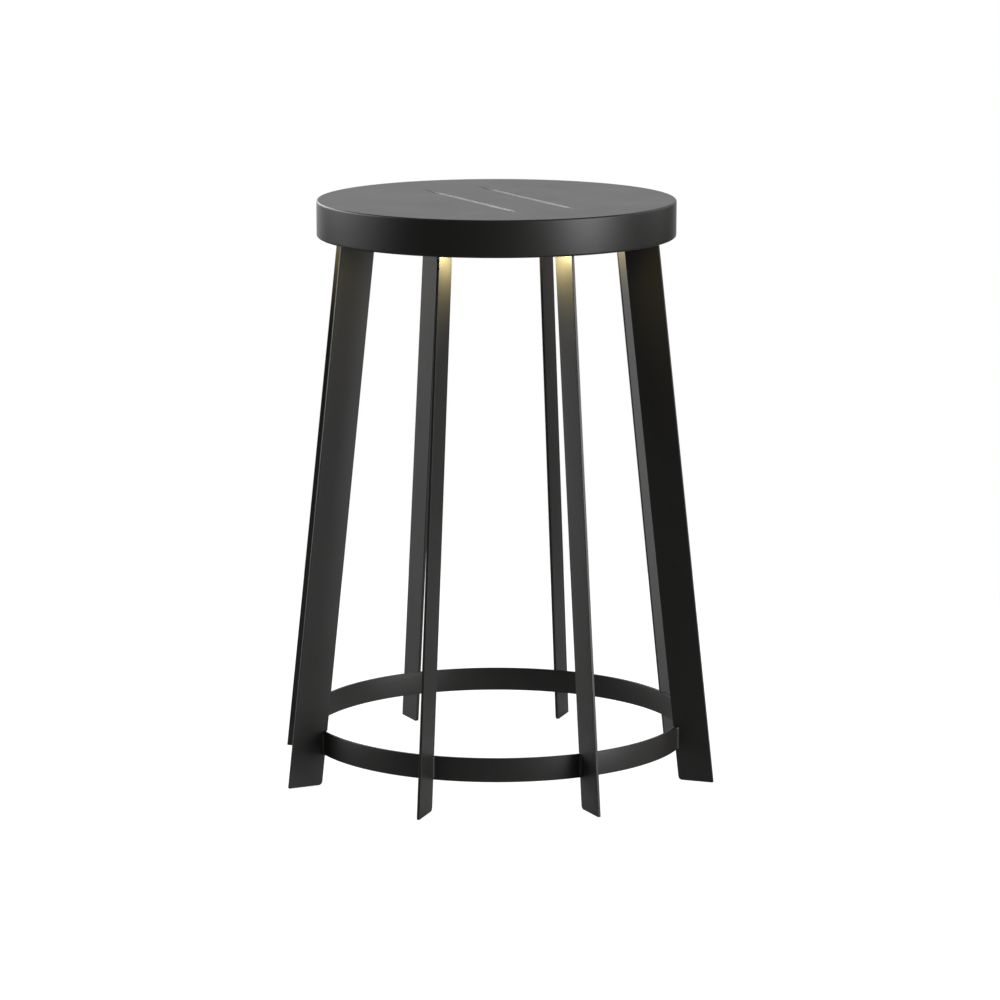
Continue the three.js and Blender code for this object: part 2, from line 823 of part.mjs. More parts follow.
// A lead is a round tube along a smooth route
function lead(points, steps) {
  const section = new THREE.Shape().absarc(0, 0, leadRadius, 0, Math.PI * 2);
  const route = new THREE.CatmullRomCurve3(points.map((p) => new THREE.Vector3(...p)));
  const geometry = new THREE.ExtrudeGeometry(section, {
    steps,
    curveSegments: leadQuarterSides * 2,
    bevelEnabled: false,
    extrudePath: route,
  });
  return solid(geometry);
}

place(frameGroup, "seat_pan", seatPan(), finish.powderCoat);
for (let i = 0; i < legCount; i += 1) {
  place(frameGroup, `leg_${i + 1}`, leg(), finish.powderCoat, firstLegAzimuth + legStep * i - fullTurn / 4);
}
place(frameGroup, "foot_hoop", hoop(), finish.powderCoat);
place(frameGroup, "leg_ring", legRing(), finish.powderCoat);
for (let i = 0; i < studCount; i += 1) {
  const [x, y] = around(studAzimuth + (fullTurn / studCount) * i, studCircle);
  place(frameGroup, `seat_stud_${i + 1}`, seatStud(x, y), finish.zinc);
  place(frameGroup, `stud_nut_${i + 1}`, studNut(x, y), finish.zinc);
}

for (let i = 0; i < bossCount; i += 1) {
  const [x, y] = around(bossAzimuth + (fullTurn / bossCount) * i, bossCircle);
  place(lampGroup, `lamp_boss_${i + 1}`, lampBoss(x, y), finish.powderCoat);
  place(lampGroup, `lamp_screw_${i + 1}`, lampScrew(x, y), finish.zinc);
}
place(lampGroup, "lamp_housing", lampHousing(), finish.housing);
place(lampGroup, "bezel_ring", bezel(), finish.housing);
for (let i = 0; i < bezelScrewCount; i += 1) {
  const [x, y] = around(bezelScrewAzimuth + (fullTurn / bezelScrewCount) * i, channelMiddle);
  place(lampGroup, `bezel_screw_${i + 1}`, bezelScrew(x, y), finish.steel);
}
place(lampGroup, "diffuser", diffuser(), finish.opal);
place(lampGroup, "lens_gasket", lensGasket(), finish.rubber);
place(lampGroup, "led_plate", ledPlate(), finish.aluminium);
place(lampGroup, "led_board", rod(ledBoardRadius, ledBoardLow, ledBoardHigh, lampFacets), finish.whiteBoard);
for (let i = 0; i < ledCount; i += 1) {
  const [x, y] = around((fullTurn / ledCount) * i, ledCircle);
  place(lampGroup, `led_${i + 1}`, led(x, y), finish.led);
}
place(lampGroup, "battery_cell_1", batteryCell(-1), finish.cellWrap);
place(lampGroup, "battery_cell_2", batteryCell(1), finish.cellWrap);
place(lampGroup, "control_board", controlBoard(), finish.greenBoard);
place(lampGroup, "charge_board", chargeBoard(), finish.greenBoard);
place(lampGroup, "charge_socket", chargeSocket(), finish.steel);
place(lampGroup, "socket_cap", socketCap(), finish.rubber);
place(lampGroup, "cap_pin", crossRod(capPinRadius, capPinLength, smallFacets, hingeY, hingeZ), finish.steel);
place(lampGroup, "push_button", pushButton(), finish.rubber);
place(lampGroup, "switch_stem", switchStem(), finish.steel);
place(lampGroup, "switch_body", switchBody(), finish.housing);
place(lampGroup, "switch_board", switchBoard(), finish.greenBoard);

// Leads, from each cell, the two small boards and the light source to the control board
const leadZ = boardHigh - boardThickness / 2;
const boardEdge = boardRight + fitGap + leadRadius;
for (const [i, side] of [-1, 1].entries()) {
  const y = side * (boardWidth / 4);
  const cellFace = -cellLength / 2 - fitGap;
  const route = [
    [cellFace, y, leadZ],
    [(cellFace + boardRight) / 2, y, leadZ],
    [boardRight + fitGap, y, leadZ],
  ];
  place(lampGroup, `battery_lead_${i + 1}`, lead(route, shortLeadSteps), finish.lead);
}
const cornerX = -cellLength / 2 - leadBend;
const cornerY = cellWidth + cellSpacing / 2 + leadBend;
for (const [name, side, start, low] of [
  ["switch_lead", -1, channelMiddle - switchBoardLength / 2 - fitGap, switchBoardLow],
  ["charge_lead", 1, chargeBoardFront - fitGap, chargeBoardLow],
]) {
  const z = low + chargeBoardThickness / 2;
  const route = [
    [0, side * start, z],
    [0, side * (ribRadius - leadBend), (z + leadZ) / 2],
    [cornerX / 2, side * (cornerY + leadBend * 2), leadZ],
    [cornerX, side * cornerY, leadZ],
    [boardEdge - leadBend * 2, side * (boardWidth / 2 + leadBend), leadZ],
    [boardEdge - leadBend * 2, side * (boardWidth / 2 + fitGap), leadZ],
  ];
  place(lampGroup, name, lead(route, longLeadSteps), finish.lead);
}
const [ledLeadX, ledLeadY] = ledLeadPlace;
const ledRoute = [boardHigh - boardThickness - fitGap, ledPlateHigh, ledBoardHigh + fitGap];
const ledLeadPoints = ledRoute.map((z) => [ledLeadX, ledLeadY, z]);
place(lampGroup, "led_lead", lead(ledLeadPoints, shortLeadSteps), finish.lead);

export default stool;
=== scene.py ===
import json
import logging
import math
from dataclasses import dataclass, field, replace
from enum import Enum
from itertools import product

import bmesh
import bpy
import numpy as np
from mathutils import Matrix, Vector
from mathutils.geometry import tessellate_polygon


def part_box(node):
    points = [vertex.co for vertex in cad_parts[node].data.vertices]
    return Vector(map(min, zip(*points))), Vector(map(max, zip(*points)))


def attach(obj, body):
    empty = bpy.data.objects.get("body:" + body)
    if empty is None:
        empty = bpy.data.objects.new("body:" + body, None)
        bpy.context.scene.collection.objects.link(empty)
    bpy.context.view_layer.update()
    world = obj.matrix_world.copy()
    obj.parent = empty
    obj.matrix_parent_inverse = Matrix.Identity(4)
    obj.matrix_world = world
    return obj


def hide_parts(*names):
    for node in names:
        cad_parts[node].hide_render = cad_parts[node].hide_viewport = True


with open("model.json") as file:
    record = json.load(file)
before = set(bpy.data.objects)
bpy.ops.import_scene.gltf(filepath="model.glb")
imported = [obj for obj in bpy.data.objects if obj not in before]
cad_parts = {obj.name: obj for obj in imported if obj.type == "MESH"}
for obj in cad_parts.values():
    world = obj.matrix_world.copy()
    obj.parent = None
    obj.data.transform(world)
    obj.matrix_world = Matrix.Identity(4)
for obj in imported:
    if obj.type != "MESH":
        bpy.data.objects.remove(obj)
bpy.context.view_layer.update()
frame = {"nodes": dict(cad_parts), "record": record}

log = logging.getLogger("light_up_stool")

# Sizes below are in millimetres, as the shop drawing gives them, and become metres in the mesh
MM = 0.001
FULL_TURN = 2 * math.pi
# Points closer than this are sewn together, and an edge that bends by more than this stays sharp
SEW = 0.002
SHARP = math.radians(40)

# The Mix node's sockets for colours, which share their names with those for numbers and vectors
MIX_A, MIX_B, MIX_RESULT = 6, 7, 2

# Where the x and y axes of a flat shape go when it stands on the lamp's back, or across the stool
ON_BACK = (-1, 0, 0), (0, 0, 1)
ACROSS = (0, 1, 0), (0, 0, 1)

# A slot's corner radius as a share of its height, just under half so that its ends keep an edge
SLOT_END = 0.999 / 2

Pair = np.ndarray | tuple[float, float]
Triple = np.ndarray | tuple[float, float, float]
Points = np.ndarray | list[tuple[float, float]]


class Body(Enum):
    """The rigid bodies of the stool."""

    FRAME = "frame"
    BUTTON = "button"
    CAP = "cap"


class Slot(Enum):
    """The record's material slots."""

    POWDER_COAT = "powder_coat"
    ZINC = "zinc"
    HOUSING = "housing"
    OPAL = "opal"
    RUBBER = "rubber"
    ALUMINIUM = "aluminium"
    STEEL = "steel"
    BOARD = "board"
    WHITE_BOARD = "white_board"
    EMITTER = "emitter"
    CELL_WRAP = "cell_wrap"
    LEAD_SHEATH = "lead_sheath"


def corners(node: str) -> tuple[np.ndarray, np.ndarray]:
    """Gives a CAD node's lowest and highest corners, in millimetres."""
    low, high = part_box(node)
    return np.array(low) / MM, np.array(high) / MM


def turning(angle: np.ndarray) -> np.ndarray:
    """Gives (cos t, sin t) for each angle t, along a new last axis."""
    return np.stack([np.cos(angle), np.sin(angle)], axis=-1)


def around(azimuth: float, radius: float) -> np.ndarray:
    """Gives x and y at a radius from the stool's axis, at degrees from its front towards +X."""
    return radius * turning(math.radians(azimuth - 90))


def evenly(count: int, first: float = 0.0) -> list[float]:
    """Gives the azimuths of things spaced evenly round the stool, in degrees."""
    return [first + 360 / count * i for i in range(count)]


# Outlines and profiles


@dataclass(frozen=True)
class Outline:
    """A closed outline in a plane, counter-clockwise, with the outward direction at each point."""

    points: np.ndarray
    normals: np.ndarray

    def offset(self, distance: float) -> np.ndarray:
        """Gives the points moved outwards by a distance, or inwards if it is negative."""
        return self.points + self.normals * distance


def circle(radius: float, steps: int, centre: Pair = (0.0, 0.0)) -> Outline:
    """Makes a round outline: centre + radius * (cos t, sin t)."""
    normals = turning(np.arange(steps) * FULL_TURN / steps)
    return Outline(np.asarray(centre) + radius * normals, normals)


def unit(ways: np.ndarray) -> np.ndarray:
    """Gives each row the length of one."""
    return ways / np.linalg.norm(ways, axis=1, keepdims=True)


def rounded(vertices: Points, rounds: list[float], steps: int = 8) -> Outline:
    """Makes a polygon whose corners are arcs.

    Each corner's arc touches both of its edges: its centre lies on the corner's bisector at
    round / sin(half the corner's angle), and its normals turn from one edge's to the other's.

    Args:
        vertices: corners of the polygon, counter-clockwise.
        rounds: radius at each corner.
        steps: steps of each arc.

    Returns:
        The outline.
    """
    at, radius = np.asarray(vertices, float), np.asarray(rounds)[:, None]
    before, after = unit(np.roll(at, 1, axis=0) - at), unit(np.roll(at, -1, axis=0) - at)
    half = np.arccos(np.clip((before * after).sum(1, keepdims=True), -1, 1)) / 2
    centre = at + unit(before + after) * radius / np.sin(half)
    edge_in = np.column_stack([-before[:, 1], before[:, 0]])
    edge_out = np.column_stack([after[:, 1], -after[:, 0]])
    start = np.arctan2(edge_in[:, 1], edge_in[:, 0])[:, None]
    cross = edge_in[:, 0] * edge_out[:, 1] - edge_in[:, 1] * edge_out[:, 0]
    turn = np.arctan2(cross, (edge_in * edge_out).sum(1))[:, None]
    normals = turning(start + turn * np.linspace(0, 1, steps + 1))
    reach = np.where(turn > 0, radius, -radius)[:, None]
    return Outline((centre[:, None] + reach * normals).reshape(-1, 2), normals.reshape(-1, 2))


def box_outline(width: float, height: float, corner: float, middle: Pair = (0, 0)) -> Outline:
    """Makes a rectangle with round corners about a middle point."""
    ring = np.array([(-1, -1), (1, -1), (1, 1), (-1, 1)]) * (width / 2, height / 2) + middle
    return rounded(ring, [corner] * len(ring))


def arc(centre: Pair, radius: float, start: float, end: float, steps: int = 8) -> np.ndarray:
    """Gives points of an arc in a profile: centre + radius * (cos t, sin t), t in degrees."""
    return np.asarray(centre) + radius * turning(np.radians(np.linspace(start, end, steps + 1)))


def profile(*parts: Points) -> np.ndarray:
    """Joins points and arcs into one profile."""
    return np.vstack([np.atleast_2d(np.asarray(part, float)) for part in parts])


def polar(radius: np.ndarray, height: np.ndarray) -> np.ndarray:
    """Gives a grid round Z, (r cos t, r sin t, z), from a row of radii for each step of t."""
    way = turning(np.arange(len(radius)) * FULL_TURN / len(radius))
    return np.dstack([radius[..., None] * way[:, None], np.broadcast_to(height, radius.shape)])


def turned(section: np.ndarray, facets: int) -> np.ndarray:
    """Turns a profile of radius and z about Z, as facets by profile by 3."""
    return polar(np.tile(section[:, 0], (facets, 1)), section[:, 1])


# Surfaces


@dataclass
class Skin:
    """A surface sewn from patches, in millimetres until it becomes a mesh."""

    points: list[np.ndarray] = field(default_factory=list)
    faces: list[list[int]] = field(default_factory=list)

    def _keep(self, points: np.ndarray) -> int:
        """Stores points and gives the number of the first one."""
        self.points.append(points)
        return sum(map(len, self.points[:-1]))

    def patch(self, grid: np.ndarray, wrap: bool = False, keep: np.ndarray | None = None) -> "Skin":
        """Adds a grid of points as quads.

        Args:
            grid: points, as rows by columns by 3.
            wrap: whether the last row joins the first.
            keep: which quads to keep, as rows by columns.

        Returns:
            The skin itself.
        """
        rows, columns = grid.shape[:2]
        number = np.arange(rows * columns).reshape(rows, columns)
        number = number + self._keep(grid.reshape(-1, 3))
        near = number if wrap else number[:-1]
        far = np.roll(number, -1, axis=0) if wrap else number[1:]
        quads = np.stack([near[:, :-1], near[:, 1:], far[:, 1:], far[:, :-1]], axis=-1)
        self.faces += (quads if keep is None else quads[keep]).reshape(-1, 4).tolist()
        return self

    def flat(self, loops: list[np.ndarray], height: float) -> "Skin":
        """Adds a level face with holes.

        Args:
            loops: its outer loop, then its holes, as x and y.
            height: its z.

        Returns:
            The skin itself.
        """
        everything = np.vstack(loops)
        first = self._keep(np.column_stack([everything, np.full(len(everything), height)]))
        triangles = tessellate_polygon([[Vector((*p, 0)) for p in loop.tolist()] for loop in loops])
        self.faces += [[first + i for i in triangle] for triangle in triangles]
        return self

    def carry(self, outline: Outline, section: np.ndarray) -> "Skin":
        """Carries a section round an outline: point = outline + normal * offset, at the section's z.

        Args:
            outline: the path.
            section: rows of offset and z.

        Returns:
            The skin itself.
        """
        flat = outline.points[:, None] + outline.normals[:, None] * section[:, :1]
        height = np.broadcast_to(section[:, 1], flat.shape[:2])
        return self.patch(np.dstack([flat, height]), wrap=True)

    def join(self, *others: "Skin") -> "Skin":
        """Adds all patches of other skins.

        Args:
            others: the skins.

        Returns:
            The skin itself.
        """
        for other in others:
            first = self._keep(np.vstack(other.points))
            self.faces += [[first + i for i in face] for face in other.faces]
        return self

    def place(self, x_axis: Triple, y_axis: Triple, origin: Triple = (0, 0, 0)) -> "Skin":
        """Gives the skin with its x and y axes laid along two directions, and its origin moved."""
        axes = np.array([x_axis, y_axis, np.cross(x_axis, y_axis)], float)
        return replace(self, points=[points @ axes + origin for points in self.points])

    def over(self, node: str) -> "Skin":
        """Gives the skin moved from the axis to the middle of a node's box, at its own height."""
        return self.place((1, 0, 0), (0, 1, 0), np.mean(corners(node), axis=0) * (1, 1, 0))

    def mesh(self, name: str) -> bpy.types.Mesh:
        """Makes the mesh: patches are sewn where their points meet, and faces turned outwards.

        Args:
            name: of the mesh.

        Returns:
            The mesh, in metres.
        """
        mesh = bpy.data.meshes.new(name)
        mesh.from_pydata(np.vstack(self.points) * MM, [], self.faces)
        shell = bmesh.new()
        shell.from_mesh(mesh)
        bmesh.ops.remove_doubles(shell, verts=shell.verts, dist=SEW * MM)
        bmesh.ops.recalc_face_normals(shell, faces=shell.faces)
        shell.to_mesh(mesh)
        shell.free()
        mesh.shade_smooth()
        mesh.set_sharp_from_angle(angle=SHARP)
        return mesh


def turned_skin(section: np.ndarray, facets: int) -> Skin:
    """Makes a skin from a profile that is turned about Z."""
    return Skin().patch(turned(section, facets), wrap=True)


@dataclass(frozen=True)
class Edges:
    """Rounds of a plate: at its low and high outer edges and at its holes."""

    low: float
    high: float
    hole: float = 0.0
    margin: float = 0.15

    def section(self, low: float, high: float, hole: bool = False) -> np.ndarray:
        """Gives the section from the plate's top to its underside, as offset and z.

        Args:
            low: z of the underside.
            high: z of the top.
            hole: whether it goes down a hole, which mirrors it, or down the outside.

        Returns:
            The section's points, one a row.
        """
        top, foot = (self.hole, self.hole) if hole else (self.high, self.low)
        outside = profile(
            [(-top - self.margin, high)],
            arc((-top, high - top), top, 90, 0),
            arc((-foot, low + foot), foot, 0, -90),
            [(-foot - self.margin, low)],
        )
        return outside * (-1 if hole else 1, 1)


def plate(
    outline: Outline, low: float, high: float, edges: Edges, holes: list[Outline] | None = None
) -> Skin:
    """Makes a flat plate with round edges and holes.

    Args:
        outline: of the plate.
        low: z of its underside.
        high: z of its top.
        edges: its rounds.
        holes: outlines of its holes.

    Returns:
        The closed skin.
    """
    skin, inner = Skin().carry(outline, edges.section(low, high)), []
    for hole in holes or []:
        skin.carry(hole, edges.section(low, high, hole=True))
        inner.append(hole.offset(edges.hole + edges.margin))
    skin.flat([outline.offset(-edges.high - edges.margin), *inner], high)
    return skin.flat([outline.offset(-edges.low - edges.margin), *inner], low)


def dome(radius: float, low: float, high: float, edge: float, facets: int) -> Skin:
    """Makes an upright rod with round edges at both ends."""
    ends = ((low + edge, -90), (high - edge, 0))
    rounds = [arc((radius - edge, z), edge, start, start + 90, steps=4) for z, start in ends]
    return turned_skin(profile([(0, low)], *rounds, [(0, high)]), facets)


# Finishes


def srgb(code: str) -> tuple[float, ...]:
    """Turns an sRGB hex colour into the linear red, green, blue and alpha that a shader takes."""
    values = [int(code[i : i + 2], 16) / 255 for i in (0, 2, 4)]
    return *[v / 12.92 if v <= 0.04045 else ((v + 0.055) / 1.055) ** 2.4 for v in values], 1.0


def add_node(
    tree: bpy.types.NodeTree, kind: str, inputs: dict | None = None, **settings: object
) -> bpy.types.Node:
    """Adds a node with its settings, values and links.

    Args:
        tree: the node tree.
        kind: type of the node, without the ShaderNode that every type starts with.
        inputs: for each input a value, an output, or a node whose first output is linked.
        settings: properties of the node.

    Returns:
        The node.
    """
    node = tree.nodes.new(f"ShaderNode{kind}")
    for name, value in settings.items():
        setattr(node, name, value)
    for name, value in (inputs or {}).items():
        given = value.outputs[0] if isinstance(value, bpy.types.Node) else value
        if isinstance(given, bpy.types.NodeSocket):
            tree.links.new(given, node.inputs[name])
        else:
            node.inputs[name].default_value = given
    return node


def empty_tree(owner: bpy.types.Material | bpy.types.World) -> bpy.types.NodeTree:
    """Gives the node tree of a material or a world, with nothing in it.

    Args:
        owner: the material or world.

    Returns:
        The tree.
    """
    owner.use_nodes = True
    owner.node_tree.nodes.clear()
    return owner.node_tree


@dataclass(frozen=True)
class Finish:
    """A surface finish: one principled shader with a fine grain and a slow variation of tone."""

    name: str
    slot: Slot
    colour: str
    shade: str
    roughness: float
    metallic: float = 0.0
    grain: float = 0.6
    relief: float = 0.02
    patch: float = 60.0
    stretch: tuple[float, float, float] = (1.0, 1.0, 1.0)
    roughness_spread: float = 0.04

    def material(self) -> bpy.types.Material:
        """Gives the finish's material, made once.

        Returns:
            The material.
        """
        made = bpy.data.materials.get(self.name)
        if made is None:
            made = bpy.data.materials.new(self.name)
            tree = empty_tree(made)
            shader = add_node(tree, "BsdfPrincipled", self.sockets(tree))
            add_node(tree, "OutputMaterial", {"Surface": shader})
        return made

    def sockets(self, tree: bpy.types.NodeTree) -> dict:
        """Adds the nodes that give colour, roughness and grain.

        Args:
            tree: the material's nodes.

        Returns:
            What each of the shader's sockets gets.
        """
        place = add_node(tree, "TexCoord").outputs["Object"]
        slow = {"Vector": place, "Scale": 1 / (self.patch * MM), "Detail": 3.0, "Roughness": 0.55}
        cloud = add_node(tree, "TexNoise", slow)
        tone = {"Factor": cloud, MIX_A: srgb(self.shade), MIX_B: srgb(self.colour)}
        low, high = self.roughness - self.roughness_spread, self.roughness + self.roughness_spread
        drawn = add_node(tree, "Mapping", {"Vector": place, "Scale": self.stretch})
        fine = {"Vector": drawn, "Scale": 1 / (self.grain * MM), "Detail": 2.0, "Roughness": 0.5}
        bump = {"Height": add_node(tree, "TexNoise", fine), "Distance": self.relief * MM, "Strength": 1.0}
        return {
            "Metallic": self.metallic,
            "Base Color": add_node(tree, "Mix", tone, data_type="RGBA").outputs[MIX_RESULT],
            "Roughness": add_node(tree, "MapRange", {"Value": cloud, "To Min": low, "To Max": high}),
            "Normal": add_node(tree, "Bump", bump),
        }


@dataclass(frozen=True)
class LitOpal(Finish):
    """Opal polycarbonate with six emitters behind it: it glows, a little brighter over each of them."""

    glow: str = "ffe9b4"
    strength: float = 1.0
    emitters: int = 6
    circle: float = 34.0
    spot: float = 15.0
    rest: float = 0.8
    scatter: float = 0.3
    scatter_radius: tuple[float, float, float] = (0.004, 0.003, 0.002)

    def sockets(self, tree: bpy.types.NodeTree) -> dict:
        """Adds the glow: bell-shaped spots on a circle, as exp(-(d / spot)^2) of the distance d to each.

        Args:
            tree: the material's nodes.

        Returns:
            What each of the shader's sockets gets.
        """
        place = add_node(tree, "TexCoord").outputs["Object"]
        level = add_node(tree, "VectorMath", {0: place, 1: (1, 1, 0)}, operation="MULTIPLY")
        total: float | bpy.types.Node = 0.0
        for azimuth in evenly(self.emitters):
            middle = (*around(azimuth, self.circle * MM), 0)
            apart = add_node(tree, "VectorMath", {0: level, 1: middle}, operation="DISTANCE")
            ratio = {0: apart.outputs["Value"], 1: self.spot * MM}
            share = add_node(tree, "Math", ratio, operation="DIVIDE")
            square = add_node(tree, "Math", {0: share, 1: 2.0}, operation="POWER")
            bell = add_node(tree, "Math", {0: math.exp(-1), 1: square}, operation="POWER")
            total = add_node(tree, "Math", {0: total, 1: bell}, operation="ADD")
        lit = {"Value": total, "To Min": self.rest * self.strength, "To Max": self.strength}
        return super().sockets(tree) | {
            "Emission Color": srgb(self.glow),
            "Emission Strength": add_node(tree, "MapRange", lit),
            "Subsurface Weight": self.scatter,
            "Subsurface Radius": self.scatter_radius,
        }


# Fine-textured polyester powder coat on steel: satin, nearly black, with a slight orange peel.
# Real grain is about 0.2 mm, and is drawn at 0.7 mm so that it shows.
POWDER_COAT = Finish(
    "fine_textured_powder_coat", Slot.POWDER_COAT, "2c2b2a", "272625", 0.4, grain=0.7, relief=0.012
)
# Bright zinc plate on rolled threads and pressed nuts
ZINC = Finish(
    "bright_zinc_plate", Slot.ZINC, "c2c4c4", "a9acad", 0.3, metallic=1.0, grain=0.9, relief=0.01, patch=5.0
)
# Glass-filled nylon from a spark-eroded mould: matt, finely pitted
NYLON = Finish(
    "moulded_glass_filled_nylon", Slot.HOUSING, "1f1f20", "1b1b1c", 0.6, grain=0.8, relief=0.03, patch=25.0
)
# Liquid silicone rubber, moulded matt
SILICONE = Finish(
    "moulded_silicone_rubber", Slot.RUBBER, "1a1a1a", "151515", 0.75, grain=0.7, relief=0.01, patch=12.0
)
# Stainless steel, turned: fine rings round the axis show as a soft sheen
STAINLESS = Finish(
    "turned_stainless_steel", Slot.STEEL, "b4b5b6", "a2a4a5", 0.28, metallic=1.0,
    grain=0.5, relief=0.006, patch=3.0,
)
# Rolled aluminium sheet, with its grain along X
ALUMINIUM = Finish(
    "rolled_aluminium_sheet", Slot.ALUMINIUM, "cfd1d2", "c0c2c4", 0.38, metallic=1.0,
    relief=0.008, patch=20.0, stretch=(0.08, 1, 1),
)
# Solder mask over woven glass laminate
GREEN_MASK = Finish(
    "green_solder_mask", Slot.BOARD, "1f6a41", "1a5635", 0.35, grain=0.5, relief=0.01, patch=8.0
)
WHITE_MASK = Finish(
    "white_solder_mask", Slot.WHITE_BOARD, "f2f2ee", "e9e9e4", 0.4, grain=0.5, relief=0.006, patch=12.0
)
# Yellow phosphor under a clear silicone lens
PHOSPHOR = Finish(
    "phosphor_under_lens", Slot.EMITTER, "f6d774", "eecb5c", 0.15, grain=0.4, relief=0.004, patch=3.0
)
# Film shrunk round a battery cell
SHRINK_FILM = Finish(
    "heat_shrunk_film", Slot.CELL_WRAP, "2f6f9f", "2a6593", 0.3, grain=3.0, relief=0.05, patch=18.0
)
# Soft polyvinyl insulation
INSULATION = Finish(
    "soft_wire_insulation", Slot.LEAD_SHEATH, "8c1f1a", "7d1b17", 0.45, grain=0.6, relief=0.006, patch=6.0
)
# Injection-moulded opal polycarbonate
OPAL = LitOpal(
    "lit_opal_polycarbonate", Slot.OPAL, "fff4dc", "fdf0d4", 0.35, grain=0.8, relief=0.004, patch=30.0
)


def add_object(name: str, data: bpy.types.ID) -> bpy.types.Object:
    """Adds an object to the scene.

    Args:
        name: of the object.
        data: its mesh, lamp or camera.

    Returns:
        The object.
    """
    made = bpy.data.objects.new(name, data)
    bpy.context.scene.collection.objects.link(made)
    return made


def add_piece(skin: Skin, name: str, finish: Finish, body: Body = Body.FRAME) -> None:
    """Makes a finished piece from a skin.

    Args:
        skin: its surface.
        name: the CAD node that it stands for, or a name that no node has.
        finish: its finish, which names its slot.
        body: the body it moves with.
    """
    slot, replaces = finish.slot, (name,) if name in frame["nodes"] else ()
    title = f"{name}_fine" if replaces else name
    piece = add_object(title, skin.mesh(title))
    piece.data.materials.append(finish.material())
    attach(piece, body.value)
    if replaces:
        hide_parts(*replaces)
    log.info("%s: %d faces, %s, on %s", title, len(piece.data.polygons), finish.name, body.value)


# Seat and frame


@dataclass
class SeatPan:
    """Seat pan: a flat plate with a deep rim, and two shallow grooves that run out at both ends."""

    plate: float = 4.0
    wall: float = 3.0
    top_round: float = 1.6
    corner_round: float = 2.5
    hem_outer: float = 1.8
    hem_inner: float = 1.0
    groove_length: float = 180.0
    groove_width: float = 6.5
    groove_depth: float = 1.6
    groove_side: float = 0.48
    groove_run_out: float = 28.0
    groove_spacing: float = 51.5
    groove_azimuth: float = 22.5
    groove_rows: int = 24
    groove_columns: int = 45
    margin: float = 0.4
    facets: int = 360

    def groove(self, side: int, top: float) -> np.ndarray:
        """Makes the surface of one groove, with a narrow level strip along both of its sides.

        It is what a long spindle leaves that is pressed into the plate. Towards both ends the
        spindle's radius falls off linearly, so the groove is sqrt(radius^2 - tip^2) wide on each
        side of its middle line and radius - tip deep. Across it, with v from -1 to 1, each side is
        half a wave of a cosine, depth * (1 - cos(pi (1 - |v|) / side)) / 2, and the bottom is flat.

        Args:
            side: -1 or 1, for the left or the right groove.
            top: height of the plate's top.

        Returns:
            The grid of points, along by across by 3.
        """
        depth, end = self.groove_depth, self.groove_length / 2
        tip = ((self.groove_width / 2) ** 2 - depth**2) / (2 * depth)
        way = end - self.groove_run_out * np.linspace(1, 0, self.groove_rows) ** 2
        along = np.concatenate([-way[::-1], way])[:, None]
        sunk = depth * np.clip((end - np.abs(along)) / self.groove_run_out, 0, 1)
        half = np.sqrt((tip + sunk) ** 2 - tip**2)
        v = np.concatenate([[-1], np.linspace(-1, 1, self.groove_columns), [1]])[None, :]
        strip = np.zeros_like(v)
        strip[0, [0, -1]] = -self.margin, self.margin
        aside = v * half + strip * sunk / depth + side * self.groove_spacing / 2
        share = np.clip((1 - np.abs(v)) / self.groove_side, 0, 1)
        height = top - sunk * (1 - np.cos(np.pi * share)) / 2
        turn = math.radians(self.groove_azimuth)
        x = aside * math.cos(turn) - along * math.sin(turn)
        y = aside * math.sin(turn) + along * math.cos(turn)
        return np.dstack([x, y, height])

    def skin(self) -> Skin:
        """Makes the pan: a turned profile, two level faces and the grooves in the upper one.

        Returns:
            The closed skin.
        """
        low, high = corners("seat_pan")
        radius, top, foot = high[0], high[2], low[2]
        under, inner = top - self.plate, radius - self.wall
        edge, hem, lip, corner = self.top_round, self.hem_outer, self.hem_inner, self.corner_round
        section = profile(
            [(radius - edge - self.margin, top)],
            arc((radius - edge, top - edge), edge, 90, 0, steps=10),
            arc((radius - hem, foot + hem), hem, 0, -90, steps=8),
            arc((inner + lip, foot + lip), lip, -90, -180, steps=6),
            arc((inner - corner, under - corner), corner, 0, 90, steps=8),
            [(inner - corner - self.margin, under)],
        )
        skin = turned_skin(section, self.facets)
        loops = [circle(section[0, 0], self.facets).points]
        for side in (-1, 1):
            grid = self.groove(side, top)
            skin.patch(grid)
            loops.append(np.vstack([grid[:, 0], grid[-2:0:-1, -1]])[:, :2])
        skin.flat(loops, top)
        return skin.flat([circle(section[-1, 0], self.facets).points], under)

    def build(self) -> None:
        """Adds the pan."""
        add_piece(self.skin(), "seat_pan", POWDER_COAT)


